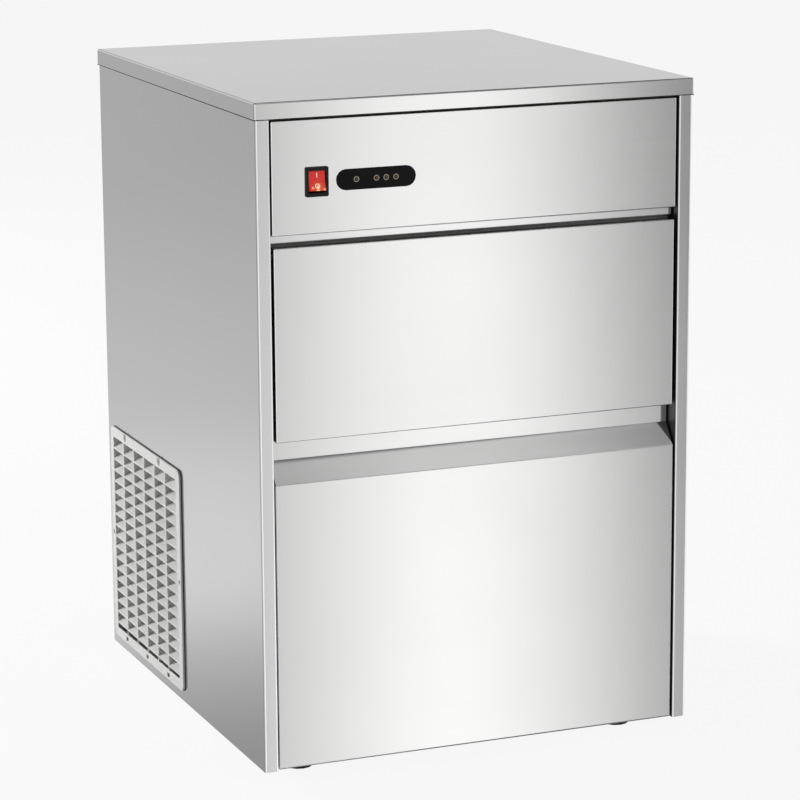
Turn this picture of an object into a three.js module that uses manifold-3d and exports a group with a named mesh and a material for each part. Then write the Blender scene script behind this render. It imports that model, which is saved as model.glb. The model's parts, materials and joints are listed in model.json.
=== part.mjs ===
// An undercounter ice cube maker: a folded stainless cabinet with a control panel, a lift-up
// door over an insulated ice bin, an ice making head above the bin and a refrigeration set
// in the machine room below it. Millimetres, +Z up, front towards -Y, origin on the floor
// under the middle of the cabinet.
import * as THREE from 'three';
import { mergeVertices } from 'three/addons/utils/BufferGeometryUtils.js';
import Module from 'manifold-3d';

const wasm = await Module();
wasm.setup();

// Cabinet
const cabinetWidth = 500; // across the top cover
const cabinetDepth = 540; // top cover, front to back
const cabinetTop = 730; // floor to the top face
const baseHeight = 16; // floor to the underside of the base pan
const sheet = 1.2; // thickness of the stainless sheet
const panSheet = 1.5; // thickness of the base pan
const bend = 2; // outside radius of a fold
const fit = 0.3; // gap between pieces that seat on each other
const overrun = 5; // how far a cutting tool runs past what it cuts
const coverFlange = 17.5; // depth of the top cover's folded edge
const coverFold = 1.6; // rounding of the top cover's upper folds
const coverOverhang = 1.5; // top cover beyond the side panels
const postWidth = 15.5; // front face of a side panel's folded post
const postReturn = 22; // how far the post folds back into the cabinet
const rearReturn = 14; // rear fold of a side panel
const panelSetback = 2; // front panels behind the posts' faces
const sideSlit = 2; // slit between a post and a fixed front panel

// Front, from the top cover down
const controlHeight = 121.5; // control panel below the top cover's edge
const controlReturn = 12; // fold of the control panel
const controlSlit = 2.6; // open slit between the top cover's edge and the control panel
const railHeight = 10.3; // recessed rail under the control panel
const railSetback = 10.5; // rail behind the control panel's face
const railReturn = 8; // lower fold of the rail
const doorTopGap = 2.4; // rail to door
const doorHeight = 205;
const doorSlit = 3.2; // gap between the door's end and a post
const doorThickness = 15;
const doorSheet = 1;
const doorReturn = 12; // fold of the door's skin
const stripHeight = 22; // upright back of the finger recess that shows under the door
const recessDepth = 17; // finger recess, front to back
const recessRise = 23.5; // height of the slanted face of the recess
const stripOverlap = 3; // how far the upright strip runs up behind the door
const panelLift = 0.5; // lower panel above the base pan's underside
const lowerReturn = 12; // side folds of the lower panel

// Door hinge and seal
const hingeBelowTop = 7; // hinge axis under the door's top edge
const hingeBehindFace = 6.5; // hinge axis behind the door's face
const hingePinRadius = 3;
const hingePinReach = 14; // pin inside the door
const hingeHeadRadius = 6;
const hingeHeadThickness = 2;
const gasketWidth = 9;
const gasketThickness = 3.9;
const gasketInset = 5; // gasket inside the door's edge
const gasketDrop = 26; // top run of the gasket under the door's top edge

// Ice bin
const foamWall = 24;
const riserSpace = 27.8; // between the insulation and the rear panel, for the pipes that climb there
const lidThickness = 22; // insulation between the ice head and the top cover
const linerWall = 2;
const framePlate = 4; // front plate of the plastic frame round the bin's mouth
const frameWall = 3; // sleeve of that frame through the insulation
const mouthWidth = 410; // hole through the insulation
const mouthTopDrop = 24.9; // top of the mouth under the rail
const mouthSill = 1; // bottom of the mouth under the door's lower edge
const mouthCorner = 10;
const frameCorner = 4;

// Side grille
const grilleWidth = 256; // front to back
const grilleHeight = 258;
const grilleInset = 146; // grille's middle from the cabinet's rear
const grilleClear = 4; // between the grille and the bin's insulation above it
const grilleBottom = 28;
const grilleCorner = 9;
const grilleFlange = 2.4; // plate that stands on the side panel
const grilleDepth = 13; // body of the grille inside the panel
const grilleLap = 5; // flange over the panel round the window
const grilleColumns = 6;
const grilleRows = 17;
const grilleSideMargin = 11; // flange edge to the first column, at the rear
const grilleFrontMargin = 13; // the same at the front
const grilleTopMargin = 12.5;
const grilleLowSlot = 6.2; // open slot under the lowest slat
const grilleDent = 1.6; // depth of the dents in the flange
const screwDentRadius = 4;
const screwDentDrop = 5; // screws under the flange's upper edge
const grilleScrews = 2;
const screwPitch = 127;
const screwShift = 9.5; // middle of the screws behind the grille's middle
const clipDentWidth = 4;
const clipDentHeight = 3.4;
const clipDentRise = 5.6; // clips' dents above the flange's lower edge
const grilleClips = 3;
const clipPitch = 78;
const clipShift = 4; // middle of the clips behind the grille's middle
const grilleRowPitch = 13.4;
const grilleBar = 2.2; // thickness of the upright bars
const grilleBite = 1; // how far slats and bars run into the frame
const slatEdge = 2.2; // front edge of a slat
const slatThickness = 1.6;
const slatRise = 7; // how much a slat climbs from its front edge to its back

// Switch and display
const switchX = 68.5; // from the left edge of the cabinet to the switch's middle
const controlsDrop = 67.5; // top cover's lower edge to the middle of the switch and display
const bezelWidth = 25;
const bezelHeight = 31;
const bezelThickness = 2;
const bezelCorner = 1.5;
const switchBodyWidth = 22;
const switchBodyHeight = 27.6;
const switchBodyDepth = 20;
const rockerWidth = 18;
const rockerHeight = 20.6;
const rockerGap = 0.4; // rocker to the housing at its sides
const rockerEndGap = 1.2; // rocker to the housing above and below
const rockerTilt = 11; // degrees off the middle at each stop
const rockerAxisDepth = 4; // rocker axis behind the panel's face
const rockerCrest = 6.2; // end of the rocker's face in front of its axis
const rockerWaist = 4.8; // middle of the face in front of the axis
const rockerBack = 5; // rear of the rocker behind its axis
const rockerBackHalf = 4; // half height of the rocker's rear
const rockerPinRadius = 1.5;
const rockerPinReach = 1.3;
const displayX = 134.3; // from the left edge of the cabinet to the display's middle
const displayWidth = 88.5;
const displayHeight = 22;
const displayThickness = 0.6;
const boardWidth = 92;
const boardHeight = 30;
const boardThickness = 1.6;
const boardStandoff = 6; // board behind the control panel
const standoffRadius = 3;
const standoffInset = 5;
const lampRadius = 1.5;
const lampHole = 2; // radius of a lamp's hole in the panel
const lampPlaces = [-22.2, 0, 10.9, 21.8]; // lamps, from the display's middle

// Ice making head
const trayEndSpace = 55.7; // tray's end to the chamber's wall, for the motor and the bearing block
const trayDepth = 116;
const trayHeight = 41;
const trayWall = 2;
const trayTopDrop = 43; // tray's upper edge under the chamber's ceiling
const trayCentreY = 10;
const trayEar = 9; // radius of the tray's hinge ears
const axleRadius = 4;
const axleReach = 16; // axle beyond the tray's end
const bearingHalf = 14; // half width of the bearing block and the motor's nose
const bearingGap = 3; // tray's end to the bearing block
const motorBody = 50; // height of the tray motor's body
const motorDepth = 44;
const motorLength = 34;
const fingerRadius = 5;
const fingerEndSpace = 10; // least room between the last fingers' pitch and the tray's end
const fingerRows = 3;
const fingerPitchX = 38;
const fingerPitchY = 30;
const fingerDip = 33; // fingers below the tray's upper edge
const plateThickness = 8;
const plateDrop = 26; // plate's upper face under the chamber's ceiling
const plateMargin = 9; // plate beyond the outer fingers
const coilRadius = 4;
const coilTail = 30; // coil ends past the plate towards the rear
const hangerWidth = 30;
const hangerSheet = 1.5;
const hangerFoot = 14; // upper fold of a hanger, against the ceiling
const hangerToe = 7; // lower fold, under the plate's edge
const sensorRadius = 3;
const sensorLength = 90;
const sensorY = -110;
const sensorTopZ = 575;
const sensorBlock = 16;
const sensorGap = 2; // sensor tube to the liner

// Feet
const footInsetX = 60; // foot's middle from the cabinet's side
const footInsetY = 58; // and from its front and rear
const footPadRadius = 17;
const footPadHeight = 7;
const footNeckRadius = 11;
const footStudRadius = 4;
const footStudLength = 22; // stud above the base pan's underside
const nutRadius = 9;
const nutHeight = 7;

// Base pan
const panFlange = 14;
const panFrontGap = 2; // pan behind the posts' returns

// Refrigeration set
const compressorInset = 152.3; // compressor's middle from the right side panel
const compressorRearInset = 210; // and from the cabinet's rear
const compressorRadius = 82;
const compressorHeadroom = 78.9; // pot's top under the bin's insulation
const compressorDome = 34; // height of each rounded end
const plateX = 190; // compressor's foot plate
const plateY = 130;
const plateSheet = 3;
const plateCorner = 14;
const grommetRadius = 11;
const grommetHeight = 12;
const grommetInset = 15;
const terminalWidth = 60;
const terminalHeight = 70;
const terminalDepth = 30;
const condenserGap = 3; // condenser behind the grille
const condenserThickness = 40;
const condenserWidth = 214;
const condenserLift = 27; // condenser above the pan
const condenserHeadroom = 32.5; // condenser's top under the bin's insulation
const finPitch = 15;
const finThickness = 1.2;
const finCore = 8; // web that the fins stand on, at the tubes
const shroudSheet = 1.5;
const shroudMargin = 18.5; // condenser's edge to the collar's bore
const shroudCollar = 28;
const bladeGap = 6; // blades' tips to the collar
const bladeCount = 5;
const bladeThickness = 1.4;
const bladeChord = 56;
const bladePitch = 28; // degrees
const hubRadius = 24;
const hubLength = 20;
const fanGap = 8; // shroud plate to the hub
const fanShaftRadius = 3;
const fanMotorRadius = 34;
const fanMotorLength = 52;
const fanMotorGap = 12; // hub to motor
const strapWidth = 24;
const strapSheet = 2;
const strapFoot = 14;
const strapHalf = 98; // half the span of the motor's strap
const drierRadius = 11;
const drierLength = 110;
const drierSpace = 40.2; // fan's motor to the drier's middle
const drierInset = 35; // drier's middle before the condenser's rear end
const drierZ = 70;
const drierNeck = 5;
const drierTaper = 12;
const drierSides = 12;
const headerGap = 12; // pipes behind the condenser's end plate
const lineRadius = 4;
const capillaryRadius = 2.5;
const lineBend = 22; // radius of a pipe's bend in the machine room
const riserBend = 12; // radius of its bends behind the insulation
const riserCross = 400; // height at which the fill tube steps across
const passHeight = 14; // height of the pipes' hole above the evaporator plate's top
const valveSpace = 42.5; // condenser to the hot gas valve's middle
const hotValveRadius = 12;
const hotValveHeight = 26;
const hotStem = 4; // stem between the valve and the pressure pipe
const hotStemRadius = 5;
const hotRiserSpace = 17; // hot gas pipe beside the evaporator's inlet pipe
const hotJoin = 60; // where the hot gas pipe joins, below the coil
const boxInset = 95; // middle of the control box from the right feet
const boxWidth = 130;
const boxDepth = 90;
const boxHeight = 70;
const boxWall = 2.5;
const boxLid = 3;
const boxSetback = 8; // control box behind the pan's front flange

// Water and waste
const inletInset = 57.3; // inlet's middle from the right side panel
const inletHeadroom = 55; // inlet's middle under the bin's insulation
const inletThread = 13;
const inletOut = 9; // inlet thread beyond the rear panel
const inletBody = 30;
const inletCoil = 15;
const fillRadius = 5;
const fillEnd = 6; // fill tube's mouth above the tray
const drainX = 0;
const drainInset = 120; // drain's middle from the cabinet's rear
const drainBore = 8;
const drainFlange = 20;
const drainFlangeThickness = 2;
const drainTail = 18; // drain fitting below the insulation
const hoseRadius = 10;
const hoseBend = 40;
const spigotX = 60;
const spigotZ = 60;
const spigotIn = 20;
const spigotOut = 9;
const spigotFlange = 18;
const glandInset = 77.3; // gland's middle from the right side panel
const glandZ = 70;
const glandRadius = 10;
const glandHex = 14;
const glandBore = 4;

// Rear panel vents
const ventColumns = 2;
const ventRows = 9;
const ventWidth = 130;
const ventHeight = 8;
const ventPitchX = 160;
const ventPitchZ = 20;
const ventBottom = 100;

// Smoothness
const arcSteps = 2; // half the straight pieces in a rounded corner
const roundSides = 16; // sides of a turned piece
const pipeSides = 8;
const bendChords = 3; // chords in a pipe's bend
const hexSides = 6;
const smallSides = 12; // sides of a foot and of other small turned pieces

// Places that several pieces share
const coverX = cabinetWidth / 2;
const coverY = cabinetDepth / 2;
const coverBottom = cabinetTop - coverFlange;
const sideX = coverX - coverOverhang;
const sideInnerX = sideX - sheet;
const postY = coverY - coverOverhang;
const postX = sideX - postWidth;
const faceY = -(postY - panelSetback);
const fixedX = postX - sideSlit;
const roofZ = cabinetTop - sheet - fit;
const panFloorZ = baseHeight + panSheet;
const controlBottom = coverBottom - controlHeight;
const controlTop = coverBottom - controlSlit;
const railTop = controlBottom - fit;
const railBottom = railTop - railHeight;
const railY = faceY + railSetback;
const doorX = postX - doorSlit;
const doorTop = railBottom - doorTopGap;
const doorBottom = doorTop - doorHeight;
const doorRearY = faceY + doorThickness;
const recessTop = doorBottom - stripHeight;
const lowerTop = recessTop - recessRise;
const lowerBottom = baseHeight + panelLift;
const hingeY = faceY + hingeBehindFace;
const hingeZ = doorTop - hingeBelowTop;
const grilleCentreY = coverY - grilleInset;
const machineRoomTop = grilleBottom + grilleHeight + grilleClear; // underside of the bin's insulation
const rearPanelY = postY - sheet - fit;
const rearPanelInnerY = rearPanelY - sheet;
const foamRear = rearPanelInnerY - riserSpace;
const riserY = (foamRear + rearPanelInnerY) / 2; // pipes that climb behind the insulation
const frameY = doorRearY + fit + gasketThickness + fit;
const foamFrontY = frameY + framePlate + fit;
const foamTop = roofZ - lidThickness - fit;
const foamX = sideInnerX - fit;
const mouthX = mouthWidth / 2;
const mouthTop = railBottom - mouthTopDrop;
const mouthBottom = doorBottom - mouthSill;
const linerX = foamX - foamWall - fit;
const linerFrontY = foamFrontY + foamWall + fit;
const linerRearY = foamRear - foamWall - fit;
const linerBottom = machineRoomTop + foamWall + fit;
const chamberX = linerX - linerWall;
const chamberRearY = linerRearY - linerWall;
const panRearY = rearPanelInnerY - fit;
const panFrontY = -(postY - postReturn - panFrontGap);
const panX = sideInnerX - fit;
const controlsZ = coverBottom - controlsDrop;
const compressorX = sideInnerX - compressorInset;
const compressorY = coverY - compressorRearInset;
const inletX = sideInnerX - inletInset;
const inletZ = machineRoomTop - inletHeadroom;
const glandX = sideInnerX - glandInset;
const drainY = coverY - drainInset;
const trayWidth = 2 * (chamberX - trayEndSpace);
const fingerColumns = Math.floor((trayWidth - 2 * fingerEndSpace) / fingerPitchX);
const trayTop = foamTop - trayTopDrop;
const trayBottom = trayTop - trayHeight;
const trayAxisY = trayCentreY + trayDepth / 2;
const plateTop = foamTop - plateDrop;
const passZ = plateTop + passHeight;

// A closed outline through corners given as [u, v, radius]; a corner without a radius stays sharp.
function outline(corners) {
  const shape = new THREE.Shape();
  corners.forEach(([u, v, radius = 0], i) => {
    const corner = new THREE.Vector2(u, v);
    const before = corners[(i + corners.length - 1) % corners.length];
    const after = corners[(i + 1) % corners.length];
    const back = new THREE.Vector2(before[0] - u, before[1] - v).normalize();
    const ahead = new THREE.Vector2(after[0] - u, after[1] - v).normalize();
    if (radius > 0) {
      const halfAngle = Math.acos(back.dot(ahead)) / 2;
      const toCentre = back.clone().add(ahead).normalize();
      const centre = toCentre.multiplyScalar(radius / Math.sin(halfAngle)).add(corner);
      const reach = radius / Math.tan(halfAngle);
      const start = back.clone().multiplyScalar(reach).add(corner).sub(centre);
      const end = ahead.clone().multiplyScalar(reach).add(corner).sub(centre);
      const clockwise = back.cross(ahead) > 0;
      shape.absarc(centre.x, centre.y, radius, start.angle(), end.angle(), clockwise);
    } else if (i === 0) {
      shape.moveTo(u, v);
    } else {
      shape.lineTo(u, v);
    }
  });
  shape.closePath();
  return shape;
}

function rectangle([u0, u1], [v0, v1], radius = 0) {
  return outline([[u0, v0, radius], [u1, v0, radius], [u1, v1, radius], [u0, v1, radius]]);
}

// The section of a sheet folded along points on one face, with the sheet to the right of the way.
function foldedSheet(points, thickness, radius = bend) {
  const inner = Math.max(radius - thickness, 0);
  const near = [];
  const far = [];
  points.forEach(([u, v], i) => {
    const before = points[i - 1];
    const after = points[i + 1];
    const from = before ? new THREE.Vector2(u - before[0], v - before[1]).normalize() : null;
    const to = after ? new THREE.Vector2(after[0] - u, after[1] - v).normalize() : null;
    const first = from ?? to;
    const second = to ?? from;
    const normals = new THREE.Vector2(first.y + second.y, -first.x - second.x);
    const offset = normals.multiplyScalar(thickness / (1 + first.dot(second)));
    const turn = from && to ? from.cross(to) : 0;
    near.push([u, v, turn < 0 ? radius : turn > 0 ? inner : 0]);
    far.unshift([u + offset.x, v + offset.y, turn < 0 ? inner : turn > 0 ? radius : 0]);
  });
  return outline([...near, ...far]);
}

// An outline swept along an axis. Its (u, v) are (y, z) for x, (x, z) for y and (x, y) for z.
function sweep(axis, shape, [from, to]) {
  const body = new THREE.ExtrudeGeometry(shape, {
    depth: to - from, bevelEnabled: false, curveSegments: arcSteps,
  });
  if (axis === 'y') {
    body.translate(0, 0, -to);
    body.rotateX(Math.PI / 2);
    return toSolid(body);
  }
  body.translate(0, 0, from);
  if (axis === 'x') {
    const u = new THREE.Vector3(0, 1, 0);
    const v = new THREE.Vector3(0, 0, 1);
    const w = new THREE.Vector3(1, 0, 0);
    body.applyMatrix4(new THREE.Matrix4().makeBasis(u, v, w));
  }
  return toSolid(body);
}

// A round bar along an axis; at gives its other two coordinates in x, y, z order.
function rod(axis, radius, [from, to], at, sides = roundSides) {
  const body = new THREE.CylinderGeometry(radius, radius, to - from, sides);
  const middle = (from + to) / 2;
  if (axis === 'x') {
    body.rotateZ(-Math.PI / 2);
    body.translate(middle, at[0], at[1]);
  } else if (axis === 'z') {
    body.rotateX(Math.PI / 2);
    body.translate(at[0], at[1], middle);
  } else {
    body.translate(at[0], middle, at[1]);
  }
  return toSolid(body);
}

function block([x0, x1], [y0, y1], [z0, z1]) {
  const body = new THREE.BoxGeometry(x1 - x0, y1 - y0, z1 - z0);
  body.translate((x0 + x1) / 2, (y0 + y1) / 2, (z0 + z1) / 2);
  return toSolid(body);
}

// A piece turned about the z axis from a profile of [radius, height] points.
function turned(profile, sides = roundSides) {
  const points = profile.map(([radius, height]) => new THREE.Vector2(radius, height));
  const body = new THREE.LatheGeometry(points, sides);
  body.rotateX(Math.PI / 2);
  return toSolid(body);
}

// The middle line of a pipe: straight runs that meet in round bends of a few short chords.
class PipeRoute extends THREE.Curve {
  constructor(points, bendRadius) {
    super();
    const stops = points.map((p) => new THREE.Vector3(...p));
    this.stations = [stops[0]];
    stops.slice(1, -1).forEach((corner, i) => {
      const back = stops[i].clone().sub(corner);
      const ahead = stops[i + 2].clone().sub(corner);
      const reach = Math.min(bendRadius, back.length() / 2, ahead.length() / 2);
      const entry = back.setLength(reach).add(corner);
      const exit = ahead.setLength(reach).add(corner);
      const arc = new THREE.QuadraticBezierCurve3(entry, corner, exit).getPoints(bendChords);
      if (arc[0].distanceTo(this.stations.at(-1)) < fit) arc.shift();
      this.stations.push(...arc);
    });
    this.stations.push(stops.at(-1));
  }

  get steps() {
    return this.stations.length - 1;
  }

  getPoint(t) {
    const along = Math.min(Math.max(t, 0), 1) * this.steps;
    const i = Math.min(Math.floor(along), this.steps - 1);
    return this.stations[i].clone().lerp(this.stations[i + 1], along - i);
  }

  getPointAt(u) {
    return this.getPoint(u);
  }

  getTangentAt(u) {
    return this.getTangent(u);
  }
}

function pipe(points, radius, bendRadius, sides = pipeSides) {
  const route = new PipeRoute(points, bendRadius);
  const section = new THREE.Shape();
  section.absarc(0, 0, radius, 0, 2 * Math.PI);
  const body = new THREE.ExtrudeGeometry(section, {
    steps: route.steps, extrudePath: route, bevelEnabled: false, curveSegments: sides / 2,
  });
  return toSolid(body);
}

function toSolid(geometry) {
  const bare = geometry.index ? geometry.toNonIndexed() : geometry;
  bare.deleteAttribute('normal');
  bare.deleteAttribute('uv');
  const merged = mergeVertices(bare);
  return new wasm.Manifold(new wasm.Mesh({
    numProp: 3,
    vertProperties: merged.getAttribute('position').array,
    triVerts: new Uint32Array(merged.index.array),
  }));
}

function cut(body, ...tools) {
  return tools.reduce((left, tool) => left.subtract(tool), body);
}

function join(body, ...others) {
  return others.reduce((left, other) => left.add(other), body);
}

// Counts 0, 1, 2 ... as an array, for rows of like pieces.
function count(n) {
  return Array.from({ length: n }, (_, i) => i);
}

// Places of n things a pitch apart, centred on zero.
function spread(n, pitch) {
  return count(n).map((i) => (i - (n - 1) / 2) * pitch);
}

const steel = { color: 0xc8cacb, roughness: 0.32, metalness: 1 };
const paleSteel = { color: 0xd2d3d3, roughness: 0.3, metalness: 1 };
const zinc = { color: 0xaeb2b5, roughness: 0.45, metalness: 1 };
const greyPlastic = { color: 0xd6d8d6, roughness: 0.55, metalness: 0 };
const whitePlastic = { color: 0xe9ebea, roughness: 0.5, metalness: 0 };
const blackPlastic = { color: 0x141516, roughness: 0.4, metalness: 0 };
const redPlastic = { color: 0xd9261c, roughness: 0.25, metalness: 0 };
const foam = { color: 0xe3d9b4, roughness: 0.95, metalness: 0 };
const rubber = { color: 0x2a2b2c, roughness: 0.8, metalness: 0 };
const copper = { color: 0xb87349, roughness: 0.35, metalness: 1 };
const blackPaint = { color: 0x1b1c1d, roughness: 0.5, metalness: 0.2 };
const boardGreen = { color: 0x1f5c3a, roughness: 0.5, metalness: 0 };

const cabinet = new THREE.Group();

// Adds a solid as a named mesh. In a pivot group the mesh is set back by the pivot's place.
function add(name, solid, look, group = cabinet) {
  const { vertProperties, triVerts } = solid.getMesh();
  const geometry = new THREE.BufferGeometry();
  geometry.setAttribute('position', new THREE.BufferAttribute(vertProperties, 3));
  geometry.setIndex(new THREE.BufferAttribute(triVerts, 1));
  geometry.computeVertexNormals();
  const mesh = new THREE.Mesh(geometry, new THREE.MeshStandardMaterial(look));
  mesh.name = name;
  mesh.position.copy(group.position).negate();
  group.add(mesh);
  return mesh;
}

function pivotAt(x, y, z) {
  const pivot = new THREE.Group();
  pivot.position.set(x, y, z);
  cabinet.add(pivot);
  return pivot;
}

// Top cover: a lid folded down on all four sides.
function topCover() {
  const lid = new THREE.ExtrudeGeometry(rectangle([-coverX, coverX], [-coverY, coverY], bend), {
    depth: coverFlange - coverFold, bevelThickness: coverFold, bevelSize: coverFold, bevelOffset: -coverFold,
    bevelSegments: arcSteps, curveSegments: arcSteps,
  });
  lid.translate(0, 0, coverBottom);
  const insideX = coverX - sheet;
  const insideY = coverY - sheet;
  const hollow = rectangle([-insideX, insideX], [-insideY, insideY]);
  return cut(
    toSolid(lid).trimByPlane([0, 0, 1], coverBottom),
    sweep('z', hollow, [coverBottom - overrun, cabinetTop - sheet]),
  );
}

// Side panel: post and return at the front, a fold at the rear; side is -1 for left, 1 for right.
function sidePanel(side) {
  const way = [
    [-postX, postReturn - postY],
    [-postX, -postY],
    [-sideX, -postY],
    [-sideX, postY],
    [rearReturn - sideX, postY],
  ];
  const path = side < 0 ? way : way.map(([x, y]) => [-x, y]).reverse();
  const panel = sweep('z', foldedSheet(path, sheet), [baseHeight, roofZ]);
  const hole = [side * (postX + sheet + overrun), side * (postX - overrun)].sort((a, b) => a - b);
  const hingeHole = rod('x', hingePinRadius + fit, hole, [hingeY, hingeZ]);
  if (side > 0) return cut(panel, hingeHole);
  const halfY = grilleWidth / 2 - grilleLap;
  const window = rectangle(
    [grilleCentreY - halfY, grilleCentreY + halfY],
    [grilleBottom + grilleLap, grilleBottom + grilleHeight - grilleLap],
    grilleCorner - grilleLap,
  );
  return cut(panel, hingeHole, sweep('x', window, [-sideX - overrun, -sideInnerX + overrun]));
}

// Rear panel: flat sheet between the side panels' folds, with air slots and service holes.
function rearPanel() {
  const span = [rearPanelInnerY - overrun, rearPanelY + overrun];
  const slots = spread(ventColumns, ventPitchX).flatMap((x) => count(ventRows).map((row) => {
    const z = ventBottom + row * ventPitchZ;
    const slot = rectangle([x - ventWidth / 2, x + ventWidth / 2], [z, z + ventHeight]);
    return sweep('y', slot, span);
  }));
  return cut(
    block([-foamX, foamX], [rearPanelInnerY, rearPanelY], [panFloorZ + fit, roofZ]),
    ...slots.filter((slot) => !serviceHoles(fit).some((hole) => overlaps(slot, hole))),
    ...serviceHoles(0),
  );
}

function overlaps(one, other) {
  return one.intersect(other).volume() > 0;
}

// Holes in the rear panel for the inlet thread, the waste spigot and the cable gland.
function serviceHoles(spare) {
  const span = [rearPanelInnerY - overrun, rearPanelY + overrun];
  return [
    rod('y', inletThread + fit + spare, span, [inletX, inletZ]),
    rod('y', hoseRadius + fit + spare, span, [spigotX, spigotZ]),
    rod('y', glandRadius + fit + spare, span, [glandX, glandZ]),
  ];
}

// Places of the four feet.
const footX = coverX - footInsetX;
const footY = coverY - footInsetY;
const footPlaces = {
  front_left: [-footX, -footY],
  front_right: [footX, -footY],
  rear_left: [-footX, footY],
  rear_right: [footX, footY],
};

// Base pan: a tray with upturned edges and a welded nut over each foot.
function basePan() {
  const tray = block([-panX, panX], [panFrontY, panRearY], [baseHeight, baseHeight + panFlange]);
  const insideX = panX - panSheet;
  const insideY = [panFrontY + panSheet, panRearY - panSheet];
  const hollow = block([-insideX, insideX], insideY, [panFloorZ, baseHeight + panFlange + overrun]);
  const nuts = Object.values(footPlaces).map((at) => (
    rod('z', nutRadius, [baseHeight, panFloorZ + nutHeight], at, hexSides)
  ));
  const holes = Object.values(footPlaces).map((at) => (
    rod('z', footStudRadius + fit, [baseHeight - overrun, panFloorZ + nutHeight + overrun], at)
  ));
  return cut(join(cut(tray, hollow), ...nuts), ...holes);
}

// Levelling foot: moulded pad and neck on a threaded stud.
function foot() {
  const padTop = baseHeight - fit;
  const studTop = baseHeight + footStudLength;
  return turned([
    [0, 0],
    [footPadRadius - bend, 0],
    [footPadRadius, bend],
    [footPadRadius, footPadHeight],
    [footNeckRadius, footPadHeight + bend],
    [footNeckRadius, padTop],
    [footStudRadius, padTop],
    [footStudRadius, studTop],
    [0, studTop],
  ], smallSides);
}

// Control panel: shallow folded pan, open at the rear, with its switch and lamp holes.
function controlPanel() {
  const pan = block([-fixedX, fixedX], [faceY, faceY + controlReturn], [controlBottom, controlTop]);
  const insideX = fixedX - sheet;
  const inside = [faceY + sheet, faceY + controlReturn + overrun];
  const hollow = block([-insideX, insideX], inside, [controlBottom + sheet, controlTop - sheet]);
  const through = [faceY - overrun, faceY + sheet + overrun];
  const switchMiddle = switchX - coverX;
  const halfWidth = switchBodyWidth / 2 + fit;
  const halfHeight = switchBodyHeight / 2 + fit;
  const switchHole = block(
    [switchMiddle - halfWidth, switchMiddle + halfWidth],
    through,
    [controlsZ - halfHeight, controlsZ + halfHeight],
  );
  const lampHoles = lampPlaces.map((x) => (
    rod('y', lampHole, through, [displayX - coverX + x, controlsZ], pipeSides)
  ));
  return cut(pan, hollow, switchHole, ...lampHoles);
}

// Rail: a folded channel that closes the gap between the control panel and the door.
function crossRail() {
  const path = [[foamFrontY - fit, railTop], [railY, railTop], [railY, railBottom], [railY + railReturn, railBottom]];
  return sweep('x', foldedSheet([...path].reverse(), sheet, bend), [-fixedX, fixedX]);
}

// Lower panel: its top edge folds into the slanted face and upright strip of the finger recess.
function lowerPanel() {
  const bottomFold = panFrontY - fit;
  const stripY = faceY + recessDepth;
  const path = [
    [bottomFold, lowerBottom],
    [faceY, lowerBottom],
    [faceY, lowerTop],
    [stripY, recessTop],
    [stripY, doorBottom + stripOverlap],
  ];
  const face = sweep('x', foldedSheet(path, sheet), [-fixedX, fixedX]);
  const fold = outline([
    [faceY + bend, lowerBottom], [faceY + lowerReturn, lowerBottom],
    [faceY + lowerReturn, lowerTop], [faceY + bend, lowerTop],
  ]);
  return join(face, sweep('x', fold, [-fixedX, sheet - fixedX]), sweep('x', fold, [fixedX - sheet, fixedX]));
}

// Door skin: a shallow pan folded from sheet, open at the rear.
function doorSkin() {
  const pan = sweep('y', rectangle([-doorX, doorX], [doorBottom, doorTop]), [faceY, faceY + doorReturn]);
  const insideX = doorX - doorSheet;
  const inside = rectangle([-insideX, insideX], [doorBottom + doorSheet, doorTop - doorSheet]);
  const hollow = sweep('y', inside, [faceY + doorSheet, faceY + doorReturn + overrun]);
  const pinHole = rod('x', hingePinRadius + fit, [-doorX - overrun, doorX + overrun], [hingeY, hingeZ]);
  return cut(pan, hollow, pinHole);
}

// Door core: the insulated plastic inner door, with a socket for the hinge pin at each end.
function doorCore() {
  const halfX = doorX - doorSheet - fit;
  const edge = doorSheet + fit;
  const core = rectangle([-halfX, halfX], [doorBottom + edge, doorTop - edge], bend);
  const slab = sweep('y', core, [faceY + edge, doorRearY]);
  const reach = postX - hingePinReach - doorSlit;
  const sockets = [-1, 1].map((side) => {
    const span = [side * (reach - fit), side * (doorX + overrun)].sort((a, b) => a - b);
    return rod('x', hingePinRadius + fit, span, [hingeY, hingeZ]);
  });
  return cut(slab, ...sockets);
}

// Door gasket: a rubber ring on the rear of the door, below the hinge.
function doorGasket() {
  const outerX = doorX - gasketInset;
  const outerZ = [doorBottom + gasketInset, doorTop - gasketDrop];
  const innerX = outerX - gasketWidth;
  const innerZ = [outerZ[0] + gasketWidth, outerZ[1] - gasketWidth];
  const span = [doorRearY + fit, doorRearY + fit + gasketThickness];
  const ring = sweep('y', rectangle([-outerX, outerX], outerZ, gasketInset), span);
  const hole = sweep('y', rectangle([-innerX, innerX], innerZ, bend), [span[0] - overrun, span[1] + overrun]);
  return cut(ring, hole);
}

// Hinge pin: a headed pin through the post's return into the end of the door.
function hingePin(side) {
  const inner = postX - doorSlit - hingePinReach;
  const headInner = postX + sheet + fit;
  const shank = [side * inner, side * (headInner + hingeHeadThickness)].sort((a, b) => a - b);
  const head = [side * headInner, side * (headInner + hingeHeadThickness)].sort((a, b) => a - b);
  const at = [hingeY, hingeZ];
  return join(rod('x', hingePinRadius, shank, at, smallSides), rod('x', hingeHeadRadius, head, at, smallSides));
}

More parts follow.
